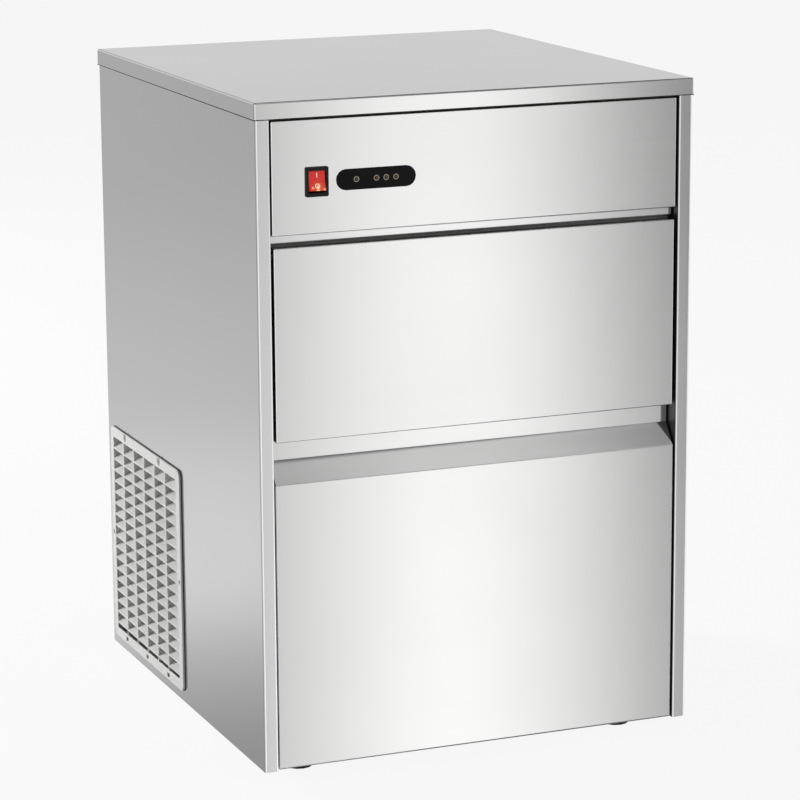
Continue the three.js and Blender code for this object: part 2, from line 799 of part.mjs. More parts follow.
// Side grille: flange and frame with slats that climb inwards between upright bars.
function ventGrille() {
  const flangeInner = -sideX - fit;
  const flangeOuter = flangeInner - grilleFlange;
  const bodyInner = -sideX + grilleDepth;
  const y0 = grilleCentreY - grilleWidth / 2;
  const y1 = grilleCentreY + grilleWidth / 2;
  const z1 = grilleBottom + grilleHeight;
  const flange = sweep('x', rectangle([y0, y1], [grilleBottom, z1], grilleCorner), [flangeOuter, flangeInner]);
  const inset = grilleLap + fit;
  const bodyYs = [y0 + inset, y1 - inset];
  const bodyOutline = rectangle(bodyYs, [grilleBottom + inset, z1 - inset], grilleCorner - grilleLap);
  const body = sweep('x', bodyOutline, [flangeInner, bodyInner]);
  const gridY = [y0 + grilleFrontMargin, y1 - grilleSideMargin];
  const gridTop = z1 - grilleTopMargin;
  const lowestSlat = gridTop - grilleRows * grilleRowPitch;
  const gridBottom = lowestSlat - grilleLowSlot;
  const hollow = block([flangeOuter - overrun, bodyInner + overrun], gridY, [gridBottom, gridTop]);
  const barPitch = (gridY[1] - gridY[0]) / grilleColumns;
  const bars = count(grilleColumns - 1).map((i) => {
    const y = gridY[0] + (i + 1) * barPitch;
    return block(
      [flangeOuter, bodyInner],
      [y - grilleBar / 2, y + grilleBar / 2],
      [gridBottom - grilleBite, gridTop + grilleBite],
    );
  });
  const slats = count(grilleRows).map((row) => {
    const z = lowestSlat + row * grilleRowPitch - slatEdge / 2;
    const slat = outline([
      [flangeOuter, z], [bodyInner, z + slatRise],
      [bodyInner, z + slatRise + slatThickness], [flangeOuter, z + slatEdge],
    ]);
    return sweep('y', slat, [gridY[0] - grilleBite, gridY[1] + grilleBite]);
  });
  const dent = [flangeOuter - overrun, flangeOuter + grilleDent];
  const screwsY = grilleCentreY + screwShift;
  const clipsY = grilleCentreY + clipShift;
  const screwDents = spread(grilleScrews, screwPitch).map((y) => (
    rod('x', screwDentRadius, dent, [screwsY + y, z1 - screwDentDrop], pipeSides)
  ));
  const clipDents = spread(grilleClips, clipPitch).map((y) => block(
    dent,
    [clipsY + y - clipDentWidth / 2, clipsY + y + clipDentWidth / 2],
    [grilleBottom + clipDentRise - clipDentHeight / 2, grilleBottom + clipDentRise + clipDentHeight / 2],
  ));
  return join(cut(join(flange, body), hollow, ...screwDents, ...clipDents), ...bars, ...slats);
}

// Insulation: foamed walls round the bin and the ice making head, open at the top and the mouth.
function binFoam() {
  const outer = block([-foamX, foamX], [foamFrontY, foamRear], [machineRoomTop, foamTop]);
  const insideX = foamX - foamWall;
  const hollow = block(
    [-insideX, insideX],
    [foamFrontY + foamWall, foamRear - foamWall],
    [machineRoomTop + foamWall, foamTop + overrun],
  );
  const mouth = sweep('y', mouthOutline(0), [foamFrontY - overrun, foamFrontY + foamWall + overrun]);
  return cut(outer, hollow, mouth, ...wallPasses(), drainPass());
}

function mouthOutline(inset) {
  const x = mouthX - inset;
  return rectangle([-x, x], [mouthBottom + inset, mouthTop - inset], mouthCorner - inset);
}

// Holes through the rear wall for the water tube and the two refrigerant pipes.
function wallPasses() {
  const span = [chamberRearY - overrun, foamRear + overrun];
  return [
    rod('y', fillRadius + fit, span, [fillX, passZ], smallSides),
    rod('y', lineRadius + fit, span, [suctionX, coilZ], smallSides),
    rod('y', lineRadius + fit, span, [-suctionX, coilZ], smallSides),
  ];
}

function drainPass() {
  return rod('z', hoseRadius + fit, [machineRoomTop - overrun, linerBottom + linerWall + overrun], [drainX, drainY]);
}

// Bin liner: moulded tub inside the insulation.
function binLiner() {
  const outer = block([-linerX, linerX], [linerFrontY, linerRearY], [linerBottom, foamTop]);
  const hollow = block(
    [-chamberX, chamberX],
    [linerFrontY + linerWall, chamberRearY],
    [linerBottom + linerWall, foamTop + overrun],
  );
  const mouth = sweep('y', mouthOutline(0), [linerFrontY - overrun, linerFrontY + linerWall + overrun]);
  return cut(outer, hollow, mouth, ...wallPasses(), drainPass());
}

// Frame round the bin's mouth: a plate that the gasket closes on, and a sleeve through the wall.
function openingFrame() {
  const halfX = fixedX;
  const plateZ = [recessTop, railBottom - fit];
  const plate = sweep('y', rectangle([-halfX, halfX], plateZ, frameCorner), [frameY, frameY + framePlate]);
  const sleeveEnd = linerFrontY + linerWall;
  const sleeve = sweep('y', mouthOutline(fit), [frameY, sleeveEnd]);
  const hole = sweep('y', mouthOutline(fit + frameWall), [frameY - overrun, sleeveEnd + overrun]);
  return cut(join(plate, sleeve), hole);
}

function foamLid() {
  return block([-foamX, foamX], [foamFrontY, foamRear], [foamTop + fit, roofZ]);
}

// Switch housing: bezel on the panel and a body behind it, hollow for the rocker.
function switchHousing() {
  const x = switchX - coverX;
  const bezelOutline = rectangle(
    [x - bezelWidth / 2, x + bezelWidth / 2],
    [controlsZ - bezelHeight / 2, controlsZ + bezelHeight / 2],
    bezelCorner,
  );
  const bezelBack = faceY - fit;
  const bezel = sweep('y', bezelOutline, [bezelBack - bezelThickness, bezelBack]);
  const body = block(
    [x - switchBodyWidth / 2, x + switchBodyWidth / 2],
    [bezelBack - bezelThickness / 2, faceY + switchBodyDepth],
    [controlsZ - switchBodyHeight / 2, controlsZ + switchBodyHeight / 2],
  );
  const halfX = rockerWidth / 2 + rockerGap;
  const halfZ = rockerHeight / 2 + rockerEndGap;
  const pocket = block(
    [x - halfX, x + halfX],
    [bezelBack - bezelThickness - overrun, rockerAxisY + rockerBack + rockerEndGap],
    [controlsZ - halfZ, controlsZ + halfZ],
  );
  const seatX = halfX + rockerPinReach;
  const pinSeats = rod('x', rockerPinRadius + fit, [x - seatX, x + seatX], [rockerAxisY, controlsZ], pipeSides);
  return cut(join(bezel, body), pocket, pinSeats);
}

// Rocker: a dished button on two stub pins, modelled level and tilted by its pivot.
function switchRocker() {
  const half = rockerHeight / 2;
  const side = outline([
    [-rockerCrest, -half], [-rockerWaist, 0], [-rockerCrest, half], [0, half],
    [rockerBack, rockerBackHalf], [rockerBack, -rockerBackHalf], [0, -half],
  ]);
  const button = sweep('x', side, [-rockerWidth / 2, rockerWidth / 2]);
  const pinX = rockerWidth / 2 + rockerGap + rockerPinReach - fit;
  return join(button, rod('x', rockerPinRadius, [-pinX, pinX], [0, 0], pipeSides));
}

// Display window: a long rounded lens bonded to the control panel.
function displayCover() {
  const x = displayX - coverX;
  const lens = rectangle(
    [x - displayWidth / 2, x + displayWidth / 2],
    [controlsZ - displayHeight / 2, controlsZ + displayHeight / 2],
    displayHeight / 2 - fit,
  );
  return sweep('y', lens, [faceY - fit - displayThickness, faceY - fit]);
}

// Display board: circuit board on four spacers, with its lamps reaching into the panel's holes.
function displayBoard() {
  const x = displayX - coverX;
  const panelBack = faceY + sheet + fit;
  const boardFront = panelBack + boardStandoff;
  const halfX = boardWidth / 2;
  const halfZ = boardHeight / 2;
  const board = block(
    [x - halfX, x + halfX], [boardFront, boardFront + boardThickness], [controlsZ - halfZ, controlsZ + halfZ],
  );
  const spacers = [-1, 1].flatMap((side) => [-1, 1].map((end) => rod(
    'y', standoffRadius, [panelBack, boardFront + boardThickness / 2],
    [x + side * (halfX - standoffInset), controlsZ + end * (halfZ - standoffInset)], pipeSides,
  )));
  const lamps = lampPlaces.map((place) => rod(
    'y', lampRadius, [faceY + fit, boardFront + boardThickness / 2], [x + place, controlsZ], pipeSides,
  ));
  return join(board, ...spacers, ...lamps);
}

// Evaporator: a plate with freezing fingers that dip into the tray.
const fingerXs = spread(fingerColumns, fingerPitchX);
const fingerYs = spread(fingerRows, fingerPitchY).map((y) => y + trayCentreY);
const plateHalfX = fingerXs.at(-1) + fingerRadius + plateMargin;
const plateYs = [fingerYs[0] - fingerRadius - plateMargin, fingerYs.at(-1) + fingerRadius + plateMargin];
const coilZ = plateTop + fit + coilRadius;
const suctionX = fingerXs.at(-1);
const coilRearY = plateYs[1] + coilTail;
const fillX = (plateHalfX + trayWidth / 2 - trayWall) / 2;

function evaporator() {
  const plate = block([-plateHalfX, plateHalfX], plateYs, [plateTop - plateThickness, plateTop]);
  const tip = trayTop - fingerDip;
  const root = plateTop - plateThickness / 2;
  const fingers = fingerXs.flatMap((x) => fingerYs.map((y) => {
    const finger = turned([
      [0, tip], [fingerRadius / 2, tip], [fingerRadius, tip + fingerRadius], [fingerRadius, root], [0, root],
    ], hexSides);
    return finger.translate([x, y, 0]);
  }));
  return join(plate, ...fingers);
}

// Evaporator coil: one pipe in three passes over the plate, both ends towards the rear.
function evaporatorCoil() {
  const rows = [plateYs[0] + coilTail / 2, trayCentreY, plateYs[1] - coilTail / 2];
  return pipe([
    [-suctionX, coilRearY, coilZ], [-suctionX, rows[0], coilZ], [suctionX - coilTail, rows[0], coilZ],
    [suctionX - coilTail, rows[1], coilZ], [coilTail - suctionX, rows[1], coilZ],
    [coilTail - suctionX, rows[2], coilZ], [suctionX, rows[2], coilZ], [suctionX, coilRearY, coilZ],
  ], coilRadius, coilTail / 2);
}

// Hangers: folded straps that carry the evaporator from the ceiling.
function evaporatorHanger(side) {
  const legX = plateHalfX + fit;
  const path = [
    [-legX - hangerFoot, foamTop - fit],
    [-legX, foamTop - fit],
    [-legX, plateTop - plateThickness - fit],
    [hangerToe - legX, plateTop - plateThickness - fit],
  ];
  const points = side < 0 ? path : path.map(([x, z]) => [-x, z]).reverse();
  return sweep('y', foldedSheet(points, hangerSheet), [trayCentreY - hangerWidth / 2, trayCentreY + hangerWidth / 2]);
}

// Water tray: open trough on an axle along its rear upper edge.
function waterTray() {
  const halfX = trayWidth / 2;
  const y0 = trayCentreY - trayDepth / 2;
  const tub = sweep('x', rectangle([y0, trayAxisY], [trayBottom, trayTop], bend), [-halfX, halfX]);
  const inside = rectangle([y0 + trayWall, trayAxisY - trayWall], [trayBottom + trayWall, trayTop + overrun], bend);
  const hollow = sweep('x', inside, [trayWall - halfX, halfX - trayWall]);
  const ears = [-1, 1].map((side) => {
    const span = [side * (halfX - trayWall), side * halfX].sort((a, b) => a - b);
    return rod('x', trayEar, span, [trayAxisY, trayTop], smallSides);
  });
  const axles = [-1, 1].map((side) => {
    const span = [side * (halfX - trayWall), side * (halfX + axleReach)].sort((a, b) => a - b);
    return rod('x', axleRadius, span, [trayAxisY, trayTop], smallSides);
  });
  return join(cut(tub, hollow), ...ears, ...axles);
}

// Bearing block: carries the left end of the tray's axle on the liner's wall.
function bearingBlock() {
  const inner = trayWidth / 2 + bearingGap;
  const shape = rectangle(
    [trayAxisY - bearingHalf, trayAxisY + bearingHalf], [trayTop - bearingHalf, trayTop + bearingHalf], bend,
  );
  const bore = [-trayWidth / 2 - axleReach - fit, overrun - inner];
  return cut(
    sweep('x', shape, [fit - chamberX, -inner]),
    rod('x', axleRadius + fit, bore, [trayAxisY, trayTop]),
  );
}

// Tray motor: geared motor on the right wall; its nose takes the tray's axle.
function trayMotor() {
  const inner = trayWidth / 2 + bearingGap;
  const body = rectangle(
    [trayAxisY - motorDepth / 2, trayAxisY + motorDepth / 2],
    [trayTop - bearingHalf, trayTop - bearingHalf + motorBody],
    bend,
  );
  const nose = rod('x', bearingHalf - bend, [inner, chamberX - fit], [trayAxisY, trayTop]);
  const bore = [inner - overrun, trayWidth / 2 + axleReach + fit];
  return cut(
    join(sweep('x', body, [chamberX - fit - motorLength, chamberX - fit]), nose),
    rod('x', axleRadius + fit, bore, [trayAxisY, trayTop]),
  );
}

// Ice level sensor: a probe on a block near the top of the bin.
function iceLevelSensor() {
  const wall = fit - chamberX;
  const tubeX = wall + sensorGap + sensorRadius;
  const holder = block(
    [wall, wall + sensorBlock],
    [sensorY - sensorBlock / 2, sensorY + sensorBlock / 2],
    [sensorTopZ - sensorBlock, sensorTopZ],
  );
  return join(holder, rod('z', sensorRadius, [sensorTopZ - sensorLength, sensorTopZ], [tubeX, sensorY], pipeSides));
}

// Bin drain: flanged fitting through the floor of the bin.
function binDrain() {
  const floor = linerBottom + linerWall + fit;
  const bottom = machineRoomTop - drainTail;
  const fitting = turned([
    [drainBore, bottom], [hoseRadius, bottom], [hoseRadius, floor],
    [drainFlange, floor], [drainFlange, floor + drainFlangeThickness], [drainBore, floor + drainFlangeThickness],
    [drainBore, bottom],
  ]);
  return fitting.translate([drainX, drainY, 0]);
}

// Waste spigot: flanged tail through the rear panel.
function drainSpigot() {
  const flangeFront = rearPanelY + fit;
  const span = [rearPanelInnerY - spigotIn, flangeFront + spigotOut];
  const at = [spigotX, spigotZ];
  return cut(
    join(
      rod('y', hoseRadius, span, at),
      rod('y', spigotFlange, [flangeFront, flangeFront + drainFlangeThickness], at),
    ),
    rod('y', drainBore, [span[0] - overrun, span[1] + overrun], at),
  );
}

// Waste hose from the bin drain to the spigot.
function drainHose() {
  const top = machineRoomTop - drainTail - fit;
  const end = rearPanelInnerY - spigotIn - fit;
  return pipe([
    [drainX, drainY, top], [drainX, drainY, spigotZ], [spigotX, drainY, spigotZ], [spigotX, end, spigotZ],
  ], hoseRadius, hoseBend);
}

// Cable gland: hexagon outside, threaded body through the rear panel.
function cableGland() {
  const at = [glandX, glandZ];
  const outer = rearPanelY + fit;
  const span = [rearPanelInnerY - spigotOut, outer + spigotOut];
  return cut(
    join(rod('y', glandRadius, span, at), rod('y', glandHex, [outer, outer + spigotOut - bend], at, hexSides)),
    rod('y', glandBore, [span[0] - overrun, span[1] + overrun], at),
  );
}

// Water inlet valve: threaded tail through the rear panel, body and coil inside.
function waterInletValve() {
  const at = [inletX, inletZ];
  const rear = rearPanelY + fit + inletOut;
  const bodyY = [rearPanelInnerY - fit - 2 * inletBody, rearPanelInnerY - fit];
  const half = inletBody / 2;
  return join(
    rod('y', inletThread, [bodyY[0] + half, rear], at),
    block([inletX - half, inletX + half], bodyY, [inletZ - half, inletZ + half]),
    rod('z', inletCoil - fit, [inletZ, inletZ + half + inletBody / 3], [inletX, bodyY[0] + half]),
  );
}

// Fill tube from the valve up the rear and over the tray.
function fillTube() {
  const startY = rearPanelInnerY - fit - 2 * inletBody - fit;
  const overValve = machineRoomTop - fillRadius - riserBend / 2;
  return pipe([
    [inletX, startY, inletZ], [inletX, startY - lineBend, inletZ], [inletX, startY - lineBend, overValve],
    [inletX, riserY, overValve], [inletX, riserY, riserCross], [fillX, riserY, riserCross + lineBend],
    [fillX, riserY, passZ], [fillX, trayCentreY, passZ], [fillX, trayCentreY, trayTop + fillEnd],
  ], fillRadius, riserBend);
}

// Compressor: welded steel pot on a foot plate.
const compressorBase = panFloorZ + fit + grommetHeight + fit;
const potTop = machineRoomTop - compressorHeadroom;

function compressor() {
  const half = compressorRadius;
  const potBottom = compressorBase + plateSheet / 2;
  const shoulder = half * Math.SQRT1_2;
  const dip = compressorDome * (1 - Math.SQRT1_2);
  const pot = turned([
    [0, potBottom], [half / 2, potBottom], [shoulder + dip / 2, potBottom + dip],
    [half, potBottom + compressorDome], [half, potTop - compressorDome],
    [shoulder + dip / 2, potTop - dip], [half / 2, potTop], [0, potTop],
  ], roundSides);
  const footPlate = sweep(
    'z', rectangle([-plateX / 2, plateX / 2], [-plateY / 2, plateY / 2], plateCorner),
    [compressorBase, compressorBase + plateSheet],
  );
  return join(pot, footPlate).translate([compressorX, compressorY, 0]);
}

function terminalCover() {
  const middle = (compressorBase + plateSheet + potTop) / 2;
  const front = compressorY - compressorRadius - terminalDepth / 2;
  const lid = block(
    [compressorX - terminalWidth / 2, compressorX + terminalWidth / 2],
    [front, front + terminalDepth],
    [middle - terminalHeight / 2, middle + terminalHeight / 2],
  );
  const pot = rod('z', compressorRadius + fit, [compressorBase, potTop], [compressorX, compressorY]);
  return cut(lid, pot);
}

const grommetPlaces = {
  front_left: [-1, -1],
  front_right: [1, -1],
  rear_left: [-1, 1],
  rear_right: [1, 1],
};

function grommet([sideX, sideY]) {
  const x = compressorX + sideX * (plateX / 2 - grommetInset);
  const y = compressorY + sideY * (plateY / 2 - grommetInset);
  const bottom = panFloorZ + fit;
  const waist = grommetRadius - bend;
  const bush = turned([
    [0, bottom], [grommetRadius, bottom], [grommetRadius, bottom + grommetHeight / 3],
    [waist, bottom + grommetHeight / 2], [waist, bottom + grommetHeight], [0, bottom + grommetHeight],
  ], pipeSides);
  return bush.translate([x, y, 0]);
}

// Condenser: upright fins on both sides of the tube core, behind the grille.
const condenserX0 = -sideX + grilleDepth + condenserGap;
const condenserX1 = condenserX0 + condenserThickness;
const condenserZ0 = panFloorZ + condenserLift;
const condenserZ1 = machineRoomTop - condenserHeadroom;
const condenserYs = [grilleCentreY - condenserWidth / 2, grilleCentreY + condenserWidth / 2];

function condenser() {
  const middle = (condenserX0 + condenserX1) / 2;
  const core = block([middle - finCore / 2, middle + finCore / 2], condenserYs, [condenserZ0, condenserZ1]);
  const fins = Math.floor(condenserWidth / finPitch);
  const teeth = spread(fins, finPitch).map((y) => block(
    [condenserX0, condenserX1],
    [grilleCentreY + y - finThickness / 2, grilleCentreY + y + finThickness / 2],
    [condenserZ0, condenserZ1],
  ));
  const ends = condenserYs.map((y, i) => block(
    [condenserX0, condenserX1],
    i ? [y - panSheet, y] : [y, y + panSheet],
    [panFloorZ + fit, condenserZ1],
  ));
  return join(core, ...teeth, ...ends);
}

// Fan shroud: plate on the condenser with a collar round the blades.
const fanZ = (condenserZ0 + condenserZ1) / 2;
const headerY = condenserYs[1] + headerGap;
const pressureZ = condenserZ1 - lineBend;
const shroudX = condenserX1 + fit;
const shroudBore = Math.min(condenserWidth, condenserZ1 - condenserZ0) / 2 - shroudMargin;
const bladeRadius = shroudBore - bladeGap;
const valveX = condenserX1 + valveSpace;

function fanShroud() {
  const at = [grilleCentreY, fanZ];
  const end = shroudX + shroudCollar;
  const plate = block([shroudX, shroudX + shroudSheet], condenserYs, [condenserZ0, condenserZ1]);
  const collar = rod('x', shroudBore + shroudSheet, [shroudX, end], at, 2 * smallSides);
  return cut(join(plate, collar), rod('x', shroudBore, [shroudX - overrun, end + overrun], at, 2 * smallSides));
}

// Fan: hub with pitched blades, on the motor's shaft.
const hubX0 = shroudX + fanGap;
const hubX1 = hubX0 + hubLength;

function fanBlades() {
  const hub = rod('x', hubRadius, [hubX0, hubX1], [0, 0]);
  const middle = (hubX0 + hubX1) / 2;
  const blade = outline([
    [-bladeChord / 3, hubRadius / 2], [bladeChord / 3, hubRadius / 2],
    [bladeChord / 2, bladeRadius * Math.SQRT1_2, bladeChord / 4],
    [0, bladeRadius - bladeThickness], [-bladeChord / 2, bladeRadius * Math.SQRT1_2, bladeChord / 4],
  ]);
  const blades = count(bladeCount).map((i) => {
    const vane = new THREE.ExtrudeGeometry(blade, {
      depth: bladeThickness, bevelEnabled: false, curveSegments: arcSteps,
    });
    vane.translate(0, 0, -bladeThickness / 2);
    vane.rotateY(Math.PI / 2 + THREE.MathUtils.degToRad(bladePitch));
    vane.rotateX((i * 2 * Math.PI) / bladeCount);
    vane.translate(middle, 0, 0);
    return toSolid(vane);
  });
  const bore = rod('x', fanShaftRadius + fit, [hubX0 + bend, hubX1 + overrun], [0, 0], pipeSides);
  return cut(join(hub, ...blades), bore).translate([0, grilleCentreY, fanZ]);
}

const fanMotorX0 = hubX1 + fanMotorGap;
const fanMotorX1 = fanMotorX0 + fanMotorLength;
const drierX = fanMotorX1 + drierSpace;
const drierY = condenserYs[1] - drierInset;

function fanMotor() {
  const at = [grilleCentreY, fanZ];
  return join(
    rod('x', fanMotorRadius, [fanMotorX0, fanMotorX1], at),
    rod('x', fanMotorRadius / 2, [fanMotorX0 - fanMotorGap / 2, fanMotorX0 + overrun], at),
    rod('x', fanShaftRadius, [hubX0 + bend + fit, fanMotorX0 + overrun], at, pipeSides),
  );
}

// Motor strap: carries the fan's motor from the shroud's plate.
function motorStrap() {
  const plateFace = shroudX + shroudSheet + fit;
  const back = fanMotorX1 + fit;
  const path = [
    [plateFace, grilleCentreY - strapHalf - strapFoot],
    [plateFace, grilleCentreY - strapHalf],
    [back, grilleCentreY - strapHalf],
    [back, grilleCentreY + strapHalf],
    [plateFace, grilleCentreY + strapHalf],
    [plateFace, grilleCentreY + strapHalf + strapFoot],
  ];
  return sweep('z', foldedSheet(path, strapSheet, bend), [fanZ - strapWidth / 2, fanZ + strapWidth / 2]);
}

// Filter drier: copper cartridge with a neck at each end.
function filterDrier() {
  const z1 = drierZ + drierLength;
  const shell = turned([
    [0, drierZ], [drierNeck, drierZ], [drierNeck, drierZ + drierTaper / 2], [drierRadius, drierZ + drierTaper],
    [drierRadius, z1 - drierTaper], [drierNeck, z1 - drierTaper / 2], [drierNeck, z1], [0, z1],
  ], drierSides);
  return shell.translate([drierX, drierY, 0]);
}

// Pipe from the condenser to the filter drier.
function liquidLine() {
  const x = (condenserX0 + condenserX1) / 2;
  const start = condenserYs[1] + fit;
  const low = drierZ - lineBend;
  return pipe([
    [x, start, low], [x, headerY, low], [drierX, headerY, low], [drierX, drierY, low],
    [drierX, drierY, drierZ - fit],
  ], lineRadius, lineBend / 2);
}

// Thin pipe from the drier up the rear to the evaporator coil.
function capillaryLine() {
  const top = drierZ + drierLength;
  return pipe([
    [drierX, drierY, top + fit], [drierX, drierY, top + lineBend], [drierX, riserY, top + lineBend],
    [-suctionX, riserY, top + 2 * lineBend],
    [-suctionX, riserY, coilZ], [-suctionX, coilRearY + fit, coilZ],
  ], capillaryRadius, riserBend, hexSides);
}

// Return pipe from the evaporator coil down to the compressor.
function suctionLine() {
  const x = compressorX + compressorRadius / 2;
  const low = machineRoomTop - lineBend;
  return pipe([
    [suctionX, coilRearY + fit, coilZ], [suctionX, riserY, coilZ], [suctionX, riserY, machineRoomTop],
    [x, riserY, low], [x, compressorY, low], [x, compressorY, potTop + fit],
  ], lineRadius, riserBend);
}

// Pressure pipe from the compressor to the condenser.
function dischargeLine() {
  const x = (condenserX0 + condenserX1) / 2;
  const start = condenserYs[1] + fit;
  const out = compressorX - compressorRadius / 2;
  return pipe([
    [x, start, pressureZ], [x, headerY, pressureZ], [out, headerY, pressureZ], [out, compressorY, pressureZ],
    [out, compressorY, potTop + fit],
  ], lineRadius, lineBend / 2);
}

// Hot gas valve: solenoid standing on the pressure pipe.
function hotGasValve() {
  const stemBottom = pressureZ + lineRadius + fit;
  const bodyBottom = stemBottom + hotStem;
  const at = [valveX, headerY];
  return join(
    rod('z', hotValveRadius, [bodyBottom, bodyBottom + hotValveHeight], at),
    rod('z', hotStemRadius, [stemBottom, bodyBottom + hotStem], at, pipeSides),
  );
}

// Hot gas pipe from the valve to the evaporator's inlet pipe.
function hotGasLine() {
  const z = pressureZ + lineRadius + fit + hotStem + hotValveHeight / 2;
  const joinZ = coilZ - hotJoin;
  const hotRiserX = hotRiserSpace - suctionX;
  return pipe([
    [valveX + hotValveRadius + fit, headerY, z], [hotRiserX, headerY, z],
    [hotRiserX, riserY, z + lineBend], [hotRiserX, riserY, joinZ],
    [capillaryRadius + fit - suctionX, riserY, joinZ],
  ], capillaryRadius, riserBend, hexSides);
}

// Control box: closed housing for the electrics, with a separate lid.
const boxX = footX - boxInset;
const boxX0 = boxX - boxWidth / 2;
const boxX1 = boxX + boxWidth / 2;
const boxY0 = panFrontY + panSheet + boxSetback;
const boxZ0 = panFloorZ + fit;

function controlBox() {
  const ys = [boxY0, boxY0 + boxDepth];
  const shell = sweep('z', rectangle([boxX0, boxX1], ys, bend), [boxZ0, boxZ0 + boxHeight]);
  const hollow = block(
    [boxX0 + boxWall, boxX1 - boxWall], [ys[0] + boxWall, ys[1] - boxWall],
    [boxZ0 + boxWall, boxZ0 + boxHeight + overrun],
  );
  return cut(shell, hollow);
}

function controlBoxLid() {
  const bottom = boxZ0 + boxHeight + fit;
  return sweep('z', rectangle([boxX0, boxX1], [boxY0, boxY0 + boxDepth], bend), [bottom, bottom + boxLid]);
}

// Assembly
add('top_cover', topCover(), steel);
add('left_side_panel', sidePanel(-1), steel);
add('right_side_panel', sidePanel(1), steel);
add('rear_panel', rearPanel(), steel);
add('base_pan', basePan(), zinc);
add('control_panel', controlPanel(), paleSteel);
add('cross_rail', crossRail(), steel);
add('lower_front_panel', lowerPanel(), paleSteel);
add('left_vent_grille', ventGrille(), greyPlastic);
add('bin_insulation', binFoam(), foam);
add('bin_liner', binLiner(), whitePlastic);
add('bin_mouth_frame', openingFrame(), whitePlastic);
add('insulated_ceiling', foamLid(), foam);

const doorPivot = pivotAt(0, hingeY, hingeZ);
add('door_skin', doorSkin(), paleSteel, doorPivot);
add('door_core', doorCore(), whitePlastic, doorPivot);
add('door_gasket', doorGasket(), rubber, doorPivot);
add('left_hinge_pin', hingePin(-1), steel);
add('right_hinge_pin', hingePin(1), steel);

const rockerAxisY = faceY + rockerAxisDepth;
add('switch_housing', switchHousing(), blackPlastic);
const rockerPivot = pivotAt(switchX - coverX, rockerAxisY, controlsZ);
const rocker = add('switch_rocker', switchRocker(), redPlastic, rockerPivot);
rocker.position.set(0, 0, 0);
rockerPivot.rotation.x = -THREE.MathUtils.degToRad(rockerTilt);
add('display_window', displayCover(), blackPlastic);
add('display_board', displayBoard(), boardGreen);

add('evaporator', evaporator(), copper);
add('evaporator_coil', evaporatorCoil(), copper);
add('left_evaporator_hanger', evaporatorHanger(-1), zinc);
add('right_evaporator_hanger', evaporatorHanger(1), zinc);
const trayPivot = pivotAt(0, trayAxisY, trayTop);
add('water_tray', waterTray(), whitePlastic, trayPivot);
add('tray_bearing_block', bearingBlock(), whitePlastic);
add('tray_motor', trayMotor(), blackPlastic);
add('ice_level_sensor', iceLevelSensor(), steel);

add('water_inlet_valve', waterInletValve(), whitePlastic);
add('water_fill_tube', fillTube(), whitePlastic);
add('bin_drain', binDrain(), whitePlastic);
add('drain_hose', drainHose(), rubber);
add('drain_spigot', drainSpigot(), whitePlastic);
add('cable_gland', cableGland(), blackPlastic);

add('compressor', compressor(), blackPaint);
add('compressor_terminal_cover', terminalCover(), blackPlastic);
for (const [place, sides] of Object.entries(grommetPlaces)) {
  add(`compressor_grommet_${place}`, grommet(sides), rubber);
}
add('condenser', condenser(), zinc);
add('fan_shroud', fanShroud(), blackPaint);
const fanPivot = pivotAt((hubX0 + hubX1) / 2, grilleCentreY, fanZ);
add('fan_blades', fanBlades(), zinc, fanPivot);
add('fan_motor', fanMotor(), blackPaint);
add('fan_motor_strap', motorStrap(), zinc);
add('filter_drier', filterDrier(), copper);
add('liquid_line', liquidLine(), copper);
add('capillary_line', capillaryLine(), copper);
add('suction_line', suctionLine(), copper);
add('discharge_line', dischargeLine(), copper);
add('hot_gas_valve', hotGasValve(), zinc);
add('hot_gas_line', hotGasLine(), copper);
add('control_box', controlBox(), blackPlastic);
add('control_box_lid', controlBoxLid(), blackPlastic);

for (const [place, [x, y]] of Object.entries(footPlaces)) {
  const pad = add(`foot_${place}`, foot(), blackPlastic);
  pad.position.set(x, y, 0);
}

export default cabinet;
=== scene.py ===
import json
import math

import bmesh
import bpy
from mathutils import Matrix, Vector

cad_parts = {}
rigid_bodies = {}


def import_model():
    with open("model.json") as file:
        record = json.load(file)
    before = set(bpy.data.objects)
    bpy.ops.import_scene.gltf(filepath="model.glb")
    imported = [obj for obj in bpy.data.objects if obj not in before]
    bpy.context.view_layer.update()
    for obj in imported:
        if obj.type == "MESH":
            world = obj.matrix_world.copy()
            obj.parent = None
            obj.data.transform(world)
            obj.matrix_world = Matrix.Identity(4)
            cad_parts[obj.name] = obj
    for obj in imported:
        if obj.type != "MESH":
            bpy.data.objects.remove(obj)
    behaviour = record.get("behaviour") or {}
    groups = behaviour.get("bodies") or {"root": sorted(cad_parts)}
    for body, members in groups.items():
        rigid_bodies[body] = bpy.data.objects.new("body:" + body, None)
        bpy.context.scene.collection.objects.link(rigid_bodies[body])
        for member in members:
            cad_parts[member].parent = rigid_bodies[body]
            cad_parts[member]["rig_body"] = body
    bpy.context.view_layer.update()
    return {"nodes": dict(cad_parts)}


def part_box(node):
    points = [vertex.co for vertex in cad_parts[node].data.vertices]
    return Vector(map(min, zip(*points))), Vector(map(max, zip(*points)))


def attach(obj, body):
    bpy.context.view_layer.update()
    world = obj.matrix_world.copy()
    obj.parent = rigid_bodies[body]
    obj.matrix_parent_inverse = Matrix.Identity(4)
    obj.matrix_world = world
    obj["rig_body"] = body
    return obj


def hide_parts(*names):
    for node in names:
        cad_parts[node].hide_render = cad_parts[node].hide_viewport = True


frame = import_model()
scene = bpy.context.scene
scene.view_settings.view_transform = "Standard"

# Camera: it stands before the left corner, a little above the machine, with a long lens,
# so that the upright edges stay nearly upright as in the photograph.
def added(name, data):
    """A new object in the scene."""
    thing = bpy.data.objects.new(name, data)
    scene.collection.objects.link(thing)
    return thing


